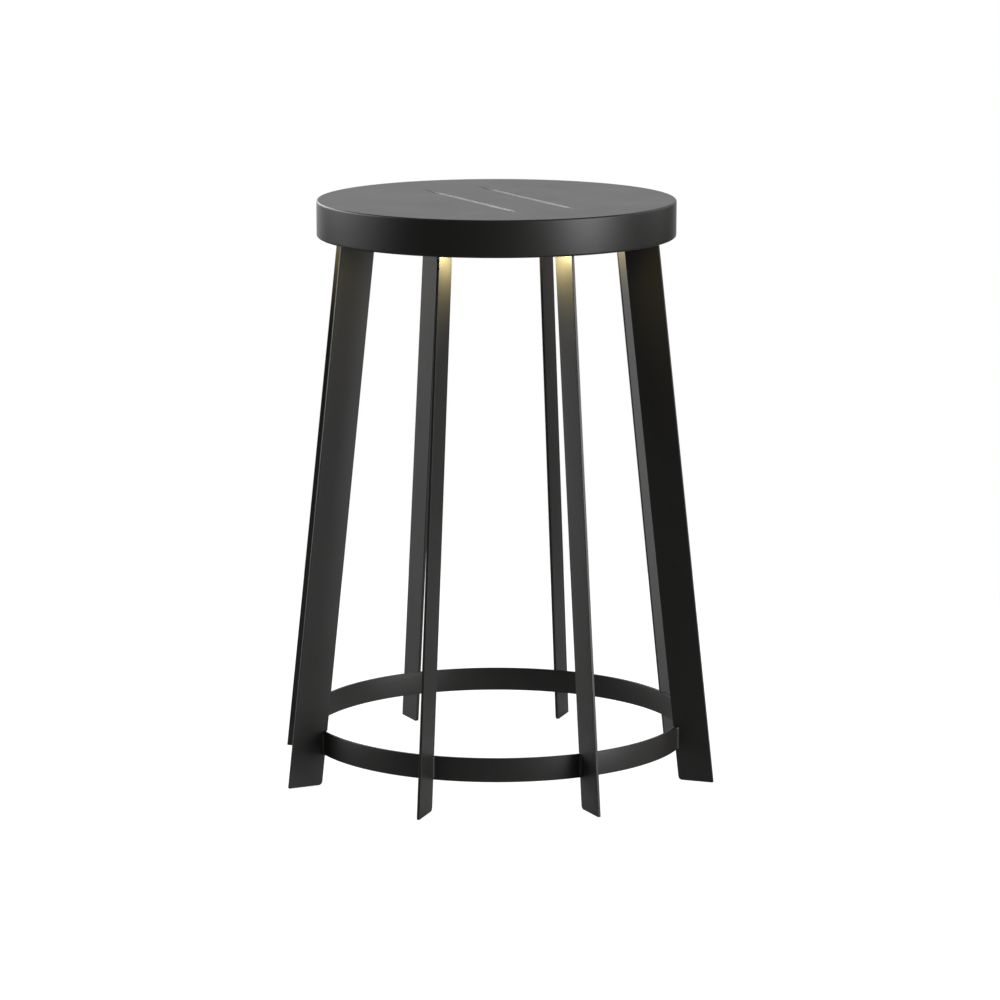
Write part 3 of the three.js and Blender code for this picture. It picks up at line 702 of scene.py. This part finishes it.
@dataclass
class Bead:
    """A small ground weld in the corner between two faces.

    Across the corner the surface is a chord between the two faces that bulges by sine; along it the
    size fades at both ends and the surface carries crescent ripples.
    """

    size: float = 1.6
    bulge: float = 0.12
    ripple: float = 0.05
    pitch: float = 1.8
    sink: float = 0.25
    across: int = 8
    step: float = 0.3
    least: int = 4

    def skin(self, start: np.ndarray, end: np.ndarray, face_a: np.ndarray, face_b: np.ndarray) -> Skin:
        """Makes the bead.

        Args:
            start: one end of the corner line.
            end: the other end.
            face_a: direction from the corner along the first face.
            face_b: direction from the corner along the second face.

        Returns:
            The closed skin.
        """
        length = float(np.linalg.norm(end - start))
        along = np.linspace(0, 1, max(int(length / self.step), self.least) + 1)[:, None]
        across = np.linspace(0, 1, self.across + 1)
        reach = np.minimum(along, 1 - along) * length / self.size
        fade = np.sqrt(1 - (1 - np.clip(reach, 0, 1)) ** 2)
        arch = np.sin(np.pi * across)
        crescent = np.cos(FULL_TURN * (along * length - self.size * arch) / self.pitch)
        rise = arch * (self.bulge + self.ripple * crescent)
        share_a, share_b = self.size * fade * (1 - across + rise), self.size * fade * (across + rise)
        line = (start + (end - start) * along)[:, None]
        outer = line + share_a[..., None] * face_a + share_b[..., None] * face_b
        root = line - (face_a + face_b) * self.sink * fade[..., None]
        return Skin().patch(np.concatenate([outer, root, outer[:, :1]], axis=1))


@dataclass
class LegFrame:
    """The eight flat-bar legs, the hoop near the floor and the ring under the seat, welded together."""

    count: int = 8
    first_azimuth: float = 22.5
    bar: float = 30.0
    thickness: float = 2.5
    edges: Edges = Edges(0.45, 0.45, margin=0.2)
    foot_radius: float = 193.0
    inset: float = 8.5
    foot_round: float = 3.4
    corner: float = 0.7
    notch_corner: float = 0.2
    seat: float = 0.15
    ring_width: float = 37.0
    ring_edges: Edges = Edges(0.5, 0.5, 0.5)
    hoop_edge: float = 0.5
    stud_count: int = 4
    stud_azimuth: float = 45.0
    stud_hole: float = 3.3
    stud_facets: int = 32
    facets: int = 360
    bead: Bead = field(default_factory=Bead)

    def __post_init__(self) -> None:
        """Works out the heights and radii from the CAD nodes."""
        low, high = corners("foot_hoop")
        self.hoop_low, self.hoop_high, self.hoop_radius = low[2], high[2], high[0]
        low, high = corners("leg_ring")
        self.ring_low, self.ring_high, self.ring_radius = low[2], high[2], high[0]
        low, high = corners("seat_pan")
        self.slope = (self.foot_radius - high[0] + self.inset) / low[2]
        self.run = self.bar * math.hypot(1, self.slope)

    def outer(self, z: float) -> float:
        """Gives the radius of a leg's outer edge at a height."""
        return self.foot_radius - self.slope * z

    def inner(self, z: float) -> float:
        """Gives the radius of a leg's inner edge at a height."""
        return self.outer(z) - self.run

    def leg(self, azimuth: float) -> Skin:
        """Makes one leg: flat bar cut level at the floor, with a notch that the hoop lies in.

        Args:
            azimuth: degrees from the front.

        Returns:
            The closed skin.
        """
        top, low, high = self.ring_low + self.seat, self.hoop_low + self.seat, self.hoop_high - self.seat
        depth, corner, half = self.hoop_radius - self.seat, self.corner, self.thickness / 2
        outside = [(self.inner(0), 0), (self.foot_radius, 0), (self.outer(top), top), (self.inner(top), top)]
        notch = [(self.inner(high), high), (depth, high), (depth, low), (self.inner(low), low)]
        rounds = [self.foot_round, *[corner] * 4, self.notch_corner, self.notch_corner, corner]
        skin = plate(rounded(outside + notch, rounds), -half, half, self.edges)
        return skin.place((*around(azimuth, 1), 0), (0, 0, 1))

    def beads(self, azimuth: float) -> Skin:
        """Makes a leg's welds: two along the outside of the hoop and two under the ring.

        Args:
            azimuth: degrees from the front.

        Returns:
            The skins of the four beads, joined.
        """
        radial, up = np.array([*around(azimuth, 1), 0]), np.array([0.0, 0.0, 1.0])
        skin, top = Skin(), self.ring_low
        for side in (-1, 1):
            face = np.cross(up, radial) * side
            middle = face * self.thickness / 2
            corner = radial * self.hoop_radius + middle
            start, end = corner + up * self.hoop_low, corner + up * self.hoop_high
            skin.join(self.bead.skin(start, end, radial, face))
            corner = up * top + middle
            start, end = corner + radial * self.inner(top), corner + radial * self.outer(top)
            skin.join(self.bead.skin(start, end, -up, face))
        return skin

    def hoop(self) -> Skin:
        """Makes the hoop: flat bar rolled into a ring, with round edges.

        Returns:
            The closed skin.
        """
        edge = self.hoop_edge
        outer, inner = self.hoop_radius - edge, self.hoop_radius - self.thickness + edge
        low, high = self.hoop_low + edge, self.hoop_high - edge
        edges = ((outer, high, 90), (outer, low, 0), (inner, low, -90), (inner, high, -180))
        rounds = [arc((radius, z), edge, start, start - 90, steps=5) for radius, z, start in edges]
        return turned_skin(profile(*rounds, [(outer, self.hoop_high)]), self.facets)

    def ring(self) -> Skin:
        """Makes the ring under the seat, with its bore and the holes for its studs.

        Returns:
            The closed skin.
        """
        holes = [circle(self.ring_radius - self.ring_width, self.facets)]
        for azimuth in evenly(self.stud_count, self.stud_azimuth):
            middle = around(azimuth, self.ring_radius - self.ring_width / 2)
            holes.append(circle(self.stud_hole, self.stud_facets, middle))
        outline = circle(self.ring_radius, self.facets)
        return plate(outline, self.ring_low, self.ring_high, self.ring_edges, holes)

    def build(self) -> None:
        """Adds the legs, the hoop, the ring and the welds."""
        for number, azimuth in enumerate(evenly(self.count, self.first_azimuth), 1):
            add_piece(self.leg(azimuth), f"leg_{number}", POWDER_COAT)
            add_piece(self.beads(azimuth), f"leg_{number}_welds", POWDER_COAT)
        add_piece(self.hoop(), "foot_hoop", POWDER_COAT)
        add_piece(self.ring(), "leg_ring", POWDER_COAT)


@dataclass
class Fasteners:
    """Studs and flange nuts between the ring and the seat, with real threads and chamfers."""

    count: int = 4
    pitch: float = 1.0
    steps_per_turn: int = 8
    thread: float = 0.5
    stud: float = 3.0
    chamfer: float = 0.8
    across: float = 10.0
    nut_sides: int = 6
    nut_round: float = 1.1
    nut_bevel: float = 0.4
    bore_gap: float = 0.05
    bore_bevel: float = 0.5
    flange: float = 7.0
    flange_edge: float = 1.0
    flange_rise: float = 1.8
    flange_bevel: float = 0.2
    facets: int = 48

    def stud_skin(self, node: str) -> Skin:
        """Makes a threaded stud.

        The radius falls by a triangle wave of (z / pitch - t / full turn), which is a helix, and a
        cone limits it at the tip.

        Args:
            node: the CAD node it stands for.

        Returns:
            The closed skin.
        """
        low, high = (corner[2] for corner in corners(node))
        step = self.pitch / self.steps_per_turn
        height = np.arange(low, high + step / 2, step)
        height[-1] = high
        turn = np.arange(self.facets)[:, None] / self.facets
        wave = np.abs(2 * np.mod(height / self.pitch - turn, 1) - 1)
        radius = np.minimum(self.stud - self.thread * wave, self.stud - self.chamfer + height - low)
        grid = polar(np.pad(radius, ((0, 0), (1, 1))), np.pad(height, 1, mode="edge"))
        return Skin().patch(grid, wrap=True).over(node)

    def nut_skin(self, node: str) -> Skin:
        """Makes a hexagon nut with a flange.

        The radius is the hexagon's, flat / cos of the angle from the flat's middle, limited by a
        round profile that gives the chamfer and the flange.

        Args:
            node: the CAD node it stands for.

        Returns:
            The closed skin.
        """
        foot, top = (corner[2] for corner in corners(node))
        flat, sixth, facets = self.across / 2, FULL_TURN / self.nut_sides, self.facets * 2
        angle = np.arange(facets) * FULL_TURN / facets
        hexagon = flat / np.cos(np.mod(angle + sixth / 2, sixth) - sixth / 2)
        bore, corner = self.stud + self.bore_gap, flat / math.cos(sixth / 2)
        bevel, edge, rise = self.flange_bevel, top - self.flange_edge, top - self.flange_rise
        limits = profile(
            [(bore, top), (self.flange - bevel, top), (self.flange, top - bevel), (self.flange, edge)],
            [(self.flange - bevel, edge - bevel), (corner + bevel / 2, rise)],
            [(corner, rise - self.nut_bevel), (corner, foot + self.nut_round)],
            arc((flat - self.nut_bevel, foot + self.nut_round), self.nut_round, -10, -90, steps=5),
            [(bore + self.bore_bevel, foot), (bore, foot + self.bore_bevel), (bore, top)],
        )
        sides = (limits[:, 1] < rise) & (limits[:, 0] > bore + self.bore_bevel + bevel / 2)
        radius = np.where(sides, np.minimum(hexagon[:, None], limits[:, 0]), limits[:, 0])
        return Skin().patch(polar(radius, limits[:, 1]), wrap=True).over(node)

    def build(self) -> None:
        """Adds the studs and nuts."""
        for number in range(1, self.count + 1):
            stud, nut = f"seat_stud_{number}", f"stud_nut_{number}"
            add_piece(self.stud_skin(stud), stud, ZINC)
            add_piece(self.nut_skin(nut), nut, ZINC)


# Lamp


@dataclass
class LampHousing:
    """Lamp housing: a shallow cup with a flat pad at the back for the socket, and the ears of its cap."""

    wall: float = 2.5
    roof: float = 2.0
    top_round: float = 2.0
    top_margin: float = 0.4
    foot_edge: float = 0.4
    pad_width: float = 23.0
    pad_margin: float = 0.8
    pad_step: float = 1.2
    pad_corner: float = 2.0
    pad_edges: Edges = Edges(0.1, 0.5, 0.35)
    mouth_width: float = 9.8
    mouth_height: float = 4.0
    ear: float = 2.0
    ear_edges: Edges = Edges(0.3, 0.3, margin=0.05)
    ear_root: float = 0.2
    knuckle: float = 2.1
    pin_proud: float = 0.3
    pin_edge: float = 0.3
    pin_facets: int = 32
    window_columns: int = 4
    window_height: float = 6.0
    facets: int = 288

    def __post_init__(self) -> None:
        """Works out the places from the CAD nodes."""
        self.radius = corners("bezel_ring")[1][0]
        self.low, self.high = (corner[2] for corner in corners("lamp_housing"))
        self.middle = (self.low + self.high) / 2
        self.pad_face = self.radius + self.pad_step
        low, high = corners("cap_pin")
        self.pin, self.pin_half, self.pin_radius = (low + high) / 2, high[0], (high[2] - low[2]) / 2

    def shell(self) -> Skin:
        """Makes the cup: a closed profile turned about Z, with a window through the wall behind the pad.

        The window leaves out the same quads of the outer and inner wall, and four strips join
        their edges.

        Returns:
            The closed skin.
        """
        inner, half = self.radius - self.wall, self.window_height / 2
        steps = [self.middle + half, self.middle - half]
        edge, top, roof_under = self.foot_edge, self.top_round, self.high - self.roof
        section = profile(
            [(0, self.high), (self.radius - top - self.top_margin, self.high)],
            arc((self.radius - top, self.high - top), top, 90, 0),
            [(self.radius, z) for z in steps],
            arc((self.radius - edge, self.low + edge), edge, 0, -90, steps=4),
            [(inner, self.low), *[(inner, z) for z in reversed(steps)], (inner, roof_under), (0, roof_under)],
        )
        grid = turned(section, self.facets)
        grid = np.roll(grid, -self.facets // 4 + self.window_columns, axis=0)
        outer_row = int(np.flatnonzero(np.isclose(section[:, 1], steps[0]))[0])
        inner_row = int(np.flatnonzero(np.isclose(section[:, 1], steps[1]))[-1])
        keep = np.ones((self.facets, len(section) - 1), bool)
        width = 2 * self.window_columns
        keep[:width, [outer_row, inner_row]] = False
        skin = Skin().patch(grid, wrap=True, keep=keep)
        for rows in ((outer_row, inner_row + 1), (outer_row + 1, inner_row)):
            skin.patch(grid[: width + 1][:, list(rows)])
        for column in (0, width):
            near, far = grid[column, [outer_row, outer_row + 1]], grid[column, [inner_row + 1, inner_row]]
            skin.patch(np.stack([near, far]))
        return skin

    def pad(self) -> Skin:
        """Makes the flat pad with the socket's mouth.

        Returns:
            The closed skin.
        """
        height = self.high - self.low - self.pad_margin * 2
        mouth = box_outline(self.mouth_width, self.mouth_height, self.mouth_height * SLOT_END)
        outline = box_outline(self.pad_width, height, self.pad_corner)
        skin = plate(outline, self.radius - self.wall, self.pad_face, self.pad_edges, [mouth])
        return skin.place(*ON_BACK, (0, 0, self.middle))

    def ear_skin(self, side: int) -> Skin:
        """Makes one ear of the hinge: a tongue from the pad that ends round the pin.

        Args:
            side: minus one or one.

        Returns:
            The closed skin.
        """
        root, tip, half = self.radius - self.wall / 2, self.pin[1] + self.knuckle, self.knuckle
        shape = [(root, -half), (tip, -half), (tip, half), (root, half)]
        end = half * 2 * SLOT_END
        low, high = sorted((side * self.pin_half, side * (self.pin_half - self.ear)))
        outline = rounded(shape, [self.ear_root, end, end, self.ear_root])
        skin = plate(outline, low, high, self.ear_edges)
        return skin.place(*ACROSS, (0, 0, self.pin[2]))

    def pin_skin(self) -> Skin:
        """Makes the hinge pin, whose round ends stand a little proud of the ears."""
        half = self.pin_half + self.pin_proud
        return dome(self.pin_radius, -half, half, self.pin_edge, self.pin_facets).place(*ACROSS, self.pin)

    def build(self) -> None:
        """Adds the cup with its pad and ears, and the pin."""
        skin = self.shell().join(self.pad(), self.ear_skin(-1), self.ear_skin(1))
        add_piece(skin, "lamp_housing", NYLON)
        add_piece(self.pin_skin(), "cap_pin", STAINLESS)


@dataclass
class ChargePort:
    """Charging socket in the pad, and the rubber cap that swings over it."""

    shell_wall: float = 0.4
    shell_edges: Edges = Edges(0.12, 0.12, 0.12, 0.02)
    tongue_width: float = 6.7
    tongue_thickness: float = 0.7
    tongue_setback: float = 1.2
    tongue_corner: float = 0.2
    cap_gap: float = 0.3
    cap_thickness: float = 1.8
    cap_corner: float = 2.2
    cap_edges: Edges = Edges(0.2, 0.5, margin=0.1)
    lip: float = 1.5
    lip_corner: float = 0.675
    lip_edges: Edges = Edges(0.2, 0.45, margin=0.05)
    plug_gap: float = 0.5
    plug_depth: float = 1.5
    plug_end: float = 0.495
    plug_edges: Edges = Edges(0.4, 0.2, margin=0.05)
    sink: float = 0.2
    knuckle_edge: float = 0.3
    knuckle_facets: int = 48

    def __post_init__(self) -> None:
        """Works out the socket's place and size from its CAD node."""
        self.low, self.high = corners("charge_socket")
        self.width, _, self.height = self.high - self.low
        self.middle = (self.low[2] + self.high[2]) / 2

    def socket(self) -> Skin:
        """Makes the socket: a drawn metal shell, closed at the back, and the tongue inside it.

        Returns:
            The skins of the shell, its back and the tongue, joined.
        """
        wall, back, front, edges = self.shell_wall, self.low[1], self.high[1], self.shell_edges
        outside = box_outline(self.width, self.height, self.height * SLOT_END)
        bore_height = self.height - wall * 2
        bore = box_outline(self.width - wall * 2, bore_height, bore_height * SLOT_END)
        tongue = box_outline(self.tongue_width, self.tongue_thickness, self.tongue_corner)
        skin = plate(outside, back + wall, front, edges, [bore])
        skin.join(plate(outside, back, back + wall * 2, edges))
        skin.join(plate(tongue, back + wall, front - self.tongue_setback, edges))
        return skin.place(*ON_BACK, (0, 0, self.middle))

    def cap(self) -> Skin:
        """Makes the cap: a thin plate with a finger lip, a plug that fills the socket and a knuckle.

        Returns:
            The skins of the plate, the lip, the plug and the knuckle, joined.
        """
        housing = LampHousing()
        low, high = corners("socket_cap")
        foot, head, face = low[2], housing.pin[2], housing.pad_face + self.cap_gap
        outer, half = face + self.cap_thickness, (high[0] - low[0]) / 2
        body = box_outline(half * 2, head - foot, self.cap_corner, (0, (head + foot) / 2))
        lip = box_outline(self.width, self.lip, self.lip_corner, (0, foot + self.lip / 2))
        height = self.height - self.plug_gap * 2
        plug = box_outline(self.width - self.plug_gap * 2, height, height * self.plug_end, (0, self.middle))
        skin = plate(body, face, outer, self.cap_edges)
        skin.join(plate(lip, face + self.sink, outer + self.lip, self.lip_edges))
        skin.join(plate(plug, face - self.plug_depth, face + self.sink * 2, self.plug_edges))
        knuckle = dome(housing.knuckle, -half, half, self.knuckle_edge, self.knuckle_facets)
        return skin.place(*ON_BACK).join(knuckle.place(*ACROSS, housing.pin))

    def build(self) -> None:
        """Adds the socket and the cap."""
        add_piece(self.socket(), "charge_socket", STAINLESS)
        add_piece(self.cap(), "socket_cap", SILICONE, Body.CAP)


@dataclass
class Bezel:
    """Bezel ring that holds the diffuser, and its four screws."""

    bore: float = 57.32
    edges: Edges = Edges(0.8, 0.2, 0.2)
    screw_count: int = 4
    screw_azimuth: float = 45.0
    screw_circle: float = 70.52
    screw_hole: float = 3.1
    screw_facets: int = 48
    head: float = 1.3
    head_edge: float = 0.5
    back_edge: float = 0.1
    margin: float = 0.05
    shank: float = 1.5
    shank_edge: float = 0.3
    shank_sink: float = 0.2
    shank_facets: int = 24
    hexagon_sides: int = 6
    hexagon: float = 2.0
    hexagon_corner: float = 0.15
    hexagon_depth: float = 0.8
    button_hole: float = 5.3
    button_facets: int = 64
    facets: int = 288

    def ring(self) -> Skin:
        """Makes the ring: a flat annulus with round edges, four screw holes and the button's hole.

        Returns:
            The closed skin.
        """
        low, high = corners("bezel_ring")
        holes = [circle(self.bore, self.facets)]
        for azimuth in evenly(self.screw_count, self.screw_azimuth):
            holes.append(circle(self.screw_hole, self.screw_facets, around(azimuth, self.screw_circle)))
        holes.append(circle(self.button_hole, self.button_facets, around(0, self.screw_circle)))
        return plate(circle(high[0], self.facets), low[2], high[2], self.edges, holes)

    def screw(self, node: str) -> Skin:
        """Makes a screw: a flat head with a round edge and a hexagon socket, on a plain shank.

        Args:
            node: the CAD node it stands for.

        Returns:
            The skins of head and shank, joined.
        """
        low, high = corners(node)
        foot, top, deep = low[2], low[2] + self.head, low[2] + self.hexagon_depth
        edge, back, margin = self.head_edge, self.back_edge, self.margin
        rim = circle((high[0] - low[0]) / 2, self.screw_facets)
        sides = self.hexagon_sides
        hexagon = circle(self.hexagon / 2 / math.cos(math.pi / sides), sides).points
        recess = rounded(hexagon, [self.hexagon_corner] * sides, steps=3)
        lower = arc((-edge, foot + edge), edge, -90, 0, steps=5)
        upper = arc((-back, top - back), back, 0, 90, steps=2)
        skin = Skin().carry(rim, profile([(-edge - margin, foot)], lower, upper))
        skin.carry(recess, profile([(margin, foot), (0, foot + margin), (0, deep)]))
        skin.flat([rim.offset(-edge - margin), recess.offset(margin)], foot)
        skin.flat([recess.points], deep).flat([rim.offset(-back)], top)
        shank = dome(self.shank, top - self.shank_sink, high[2], self.shank_edge, self.shank_facets)
        return skin.join(shank).over(node)

    def build(self) -> None:
        """Adds the ring and its screws."""
        add_piece(self.ring(), "bezel_ring", NYLON)
        for number in range(1, self.screw_count + 1):
            name = f"bezel_screw_{number}"
            add_piece(self.screw(name), name, STAINLESS)


@dataclass
class Diffuser:
    """Opal diffuser: a drum with a slightly crowned face and a round corner, on a flange."""

    wall: float = 2.0
    corner: float = 4.0
    crown: float = 1.4
    flange_width: float = 6.0
    flange_thickness: float = 2.0
    crown_steps: int = 12
    facets: int = 240

    def skin(self) -> Skin:
        """Makes the drum: the crown falls away from the middle as the square of the radius.

        Returns:
            The closed skin.
        """
        low, high = corners("diffuser")
        flange, top, radius = high[0], high[2], high[0] - self.flange_width
        face, reach, step = low[2] + self.crown, radius - self.corner, top - self.flange_thickness
        share = np.arange(self.crown_steps) / self.crown_steps
        crown = np.column_stack([reach * share, face - self.crown * (1 - share**2)])
        section = profile(
            crown,
            arc((reach, face + self.corner), self.corner, -90, 0, steps=12),
            [(radius, step), (flange, step), (flange, top), (radius - self.wall, top)],
            arc((reach, face + self.corner), self.corner - self.wall, 0, -90, steps=8),
            crown[::-1] + (0, self.wall),
        )
        return turned_skin(section, self.facets)

    def build(self) -> None:
        """Adds the diffuser."""
        add_piece(self.skin(), "diffuser", OPAL)


@dataclass
class PushButton:
    """Rubber push button with a dished face and a raised ring to feel for."""

    dish: float = 0.6
    edge: float = 0.6
    ring_radius: float = 2.6
    ring_width: float = 0.5
    ring_rise: float = 0.35
    face: float = 5.0
    flange_thickness: float = 1.2
    neck: float = 2.0
    neck_height: float = 2.0
    bowl_steps: int = 40
    facets: int = 96

    def skin(self) -> Skin:
        """Makes the button: a bowl whose depth falls as the cosine of the radius, with a bell-shaped ring.

        Returns:
            The closed skin.
        """
        low, high = corners("push_button")
        foot, top, flange = low[2], high[2], (high[0] - low[0]) / 2
        shoulder, reach = top - self.neck_height, self.face - self.edge
        radius = np.linspace(0, reach, self.bowl_steps)
        bowl = foot + self.dish * (1 + np.cos(np.pi * radius / reach)) / 2
        ring = self.ring_rise * np.exp(-(((radius - self.ring_radius) / self.ring_width) ** 2))
        section = profile(
            np.column_stack([radius, bowl - ring * (bowl - foot > self.ring_rise)]),
            arc((reach, foot + self.edge), self.edge, -90, 0, steps=6)[1:],
            [(self.face, shoulder - self.flange_thickness), (flange, shoulder - self.flange_thickness)],
            [(flange, shoulder), (self.neck, shoulder), (self.neck, top), (0, top)],
        )
        return turned_skin(section, self.facets).over("push_button")

    def build(self) -> None:
        """Adds the button."""
        add_piece(self.skin(), "push_button", SILICONE, Body.BUTTON)


@dataclass
class InnerWorks:
    """The CAD nodes that keep their own shape, mostly sealed inside the lamp."""

    finishes: tuple[Finish, ...] = (
        POWDER_COAT, ZINC, NYLON, SILICONE, ALUMINIUM, STAINLESS,
        GREEN_MASK, WHITE_MASK, PHOSPHOR, SHRINK_FILM, INSULATION,
    )

    def build(self) -> None:
        """Gives each CAD node that still shows the finish of its slot."""
        finish_of = {finish.slot.value: finish for finish in self.finishes}
        slots = {row["node"]: row["material_slot"] for row in frame["record"]["subparts"]}
        for name, node in sorted(frame["nodes"].items()):
            if node.hide_render:
                continue
            finish = finish_of[slots[name]]
            for place in node.material_slots:
                place.material = finish.material()
            log.info("%s keeps its CAD shape, %s", name, finish.name)


# Studio


def towards(azimuth: float, elevation: float) -> Vector:
    """Gives the direction at an azimuth and an elevation, both in degrees."""
    rise = math.radians(elevation)
    return Vector((*around(azimuth, math.cos(rise)), math.sin(rise)))


@dataclass(frozen=True)
class Softbox:
    """A large soft lamp far off: where it stands, how wide it looks, in degrees, and its strength."""

    name: str
    azimuth: float
    elevation: float
    width: float
    strength: float

    def build(self) -> None:
        """Adds the lamp, pointing at the stool."""
        data = bpy.data.lights.new(self.name, "SUN")
        data.energy, data.angle = self.strength, math.radians(self.width)
        lamp = add_object(self.name, data)
        lamp.rotation_euler = towards(self.azimuth, self.elevation).to_track_quat("Z", "Y").to_euler()


@dataclass(frozen=True)
class Glow:
    """Small flat lamps beside the lamp housing, in pairs that throw its light sideways on the near legs."""

    name: str
    azimuths: tuple[float, ...] = (0, 90, 180, 270)
    radius: float = 104.0
    height: float = 455.0
    turn: float = 13.0
    tilt: float = -17.0
    spread: float = 80.0
    width: float = 11.0
    drop: float = 7.0
    watts: float = 0.067
    colour: str = "ffeba6"

    def build(self) -> None:
        """Adds the lamps: each faces along its circle, turned a little outwards and down to one leg."""
        for azimuth, (side, hand) in product(self.azimuths, ((-1, "left"), (1, "right"))):
            data = bpy.data.lights.new(f"{self.name}_{azimuth}_{hand}", "AREA")
            data.shape, data.size, data.size_y = "RECTANGLE", self.width * MM, self.drop * MM
            data.energy, data.color = self.watts, srgb(self.colour)[:3]
            data.spread = math.radians(self.spread)
            lamp = add_object(data.name, data)
            lamp.location = (*(around(azimuth, self.radius) * MM), self.height * MM)
            way = towards(azimuth + (90 - self.turn) * side, self.tilt)
            lamp.rotation_euler = way.to_track_quat("-Z", "Y").to_euler()
            lamp.visible_camera = False


@dataclass
class Studio:
    """Floor, white surroundings, lamps and the camera at the photograph's viewpoint."""

    camera_place: tuple[float, float, float] = (-0.1861, -3.3215, 0.8709)
    camera_tilt: float = 79.085
    camera_turn: float = -3.2571
    lens: float = 144.33
    sensor: float = 36.0
    floor_radius: float = 800.0
    floor_facets: int = 96
    floor_white: float = 0.93
    floor_glow: float = 0.015
    # painted light: for all but camera rays the floor glows brighter near the stool, a painted pool of light
    # that the stool picks up in reflections and bounce
    painted_pool_glow: float = 0.16
    painted_pool_radius: float = 300.0
    floor_colour: str = "aaaaaa"
    ambient: float = 0.03
    wall_edge: tuple[float, float] = (0.84, 0.95)
    softboxes: tuple[Softbox, ...] = (
        Softbox("key_right", 55, 8, 35, 1.8),
        Softbox("key_right_wide", 58, 10, 60, 0.5),
        Softbox("left_low", -105, 6, 60, 0.47),
        Softbox("left_side", -110, 20, 40, 1.25),
        Softbox("left_back", -130, 14, 30, 0.58),
        Softbox("back_left", -155, 14, 30, 0.85),
        Softbox("back_right", 120, 20, 50, 0.51),
        Softbox("overhead", 0, 90, 100, 0.15),
    )
    glow: Glow = Glow("lamp_glow")

    def camera(self) -> None:
        """Adds the camera: the lens and viewpoint were worked out from the photograph's perspective."""
        data = bpy.data.cameras.new("camera")
        data.lens, data.sensor_width = self.lens, self.sensor
        camera = add_object("camera", data)
        camera.location = self.camera_place
        camera.rotation_euler = (math.radians(self.camera_tilt), 0, math.radians(self.camera_turn))
        bpy.context.scene.camera = camera

    def world(self) -> None:
        """Makes the surroundings: white to the camera and through glass, and a faint fill otherwise.

        Reflections show the white wall behind the stool too. Its share is a smooth step of the
        direction's y, which is the cosine of the angle from the wall's middle.
        """
        world = bpy.data.worlds.new("studio")
        bpy.context.scene.world = world
        world.cycles.sampling_method = "NONE"
        tree = empty_tree(world)
        rays = add_node(tree, "LightPath").outputs
        way = add_node(tree, "TexCoord").outputs["Generated"]
        back = add_node(tree, "SeparateXYZ", {"Vector": way}).outputs["Y"]
        edge = {"Value": back, "From Min": self.wall_edge[0], "From Max": self.wall_edge[1]}
        wall = add_node(tree, "MapRange", edge, interpolation_type="SMOOTHSTEP")
        shown = add_node(tree, "Math", {0: wall, 1: rays["Is Glossy Ray"]}, operation="MULTIPLY")
        for ray in ("Is Camera Ray", "Is Transmission Ray"):
            shown = add_node(tree, "Math", {0: shown, 1: rays[ray]}, operation="MAXIMUM")
        level = add_node(tree, "MapRange", {"Value": shown, "To Min": self.ambient})
        white = add_node(tree, "Background", {"Color": srgb("ffffff"), "Strength": level})
        add_node(tree, "OutputWorld", {"Surface": white})

    def floor(self) -> None:
        """Adds a round white floor that keeps the stool's shadow and is clear from below; to all but camera
        rays it glows, brighter near the stool as a painted pool of light.
        """
        ring = circle(self.floor_radius, self.floor_facets).points * MM
        mesh = bpy.data.meshes.new("floor")
        mesh.from_pydata(np.column_stack([ring, np.zeros(len(ring))]), [], [list(range(len(ring)))])
        floor = add_object("floor", mesh)
        made = bpy.data.materials.new("white_floor")
        tree = empty_tree(made)
        place = add_node(tree, "TexCoord").outputs["Object"]
        reach = add_node(tree, "VectorMath", {0: place}, operation="LENGTH").outputs["Value"]
        # Painted pool of light: for all rays but the camera's the floor glows brighter within a radius of the
        # stool, fading to an even glow beyond it
        near, far = self.floor_glow + self.painted_pool_glow, self.floor_glow
        fall = {"Value": reach, "From Max": self.painted_pool_radius * MM, "To Min": near, "To Max": far}
        painted_pool = add_node(tree, "MapRange", fall, interpolation_type="SMOOTHSTEP")
        seen = add_node(tree, "LightPath").outputs["Is Camera Ray"]
        level = add_node(tree, "MapRange", {"Value": seen, "To Min": painted_pool, "To Max": self.floor_white})
        matt = add_node(tree, "BsdfDiffuse", {"Color": srgb(self.floor_colour)})
        both = add_node(tree, "AddShader", {0: matt, 1: add_node(tree, "Emission", {"Strength": level})})
        below = add_node(tree, "NewGeometry").outputs["Backfacing"]
        sides = {0: below, 1: both, 2: add_node(tree, "BsdfTransparent")}
        add_node(tree, "OutputMaterial", {"Surface": add_node(tree, "MixShader", sides)})
        mesh.materials.append(made)
        floor.visible_shadow = False  # lamps near the horizon reach the feet too

    def build(self) -> None:
        """Adds everything round the stool."""
        self.camera()
        self.world()
        self.floor()
        for lamp in (*self.softboxes, self.glow):
            lamp.build()
        bpy.context.scene.view_settings.view_transform = "Standard"


def main() -> None:
    """Builds the stool and the studio."""
    logging.basicConfig(level=logging.INFO, format="%(name)s %(message)s")
    Studio().build()
    lamp = LampHousing(), ChargePort(), Bezel(), Diffuser(), PushButton()
    for part in (SeatPan(), LegFrame(), Fasteners(), *lamp, InnerWorks()):
        part.build()


if __name__ == "__main__":
    main()
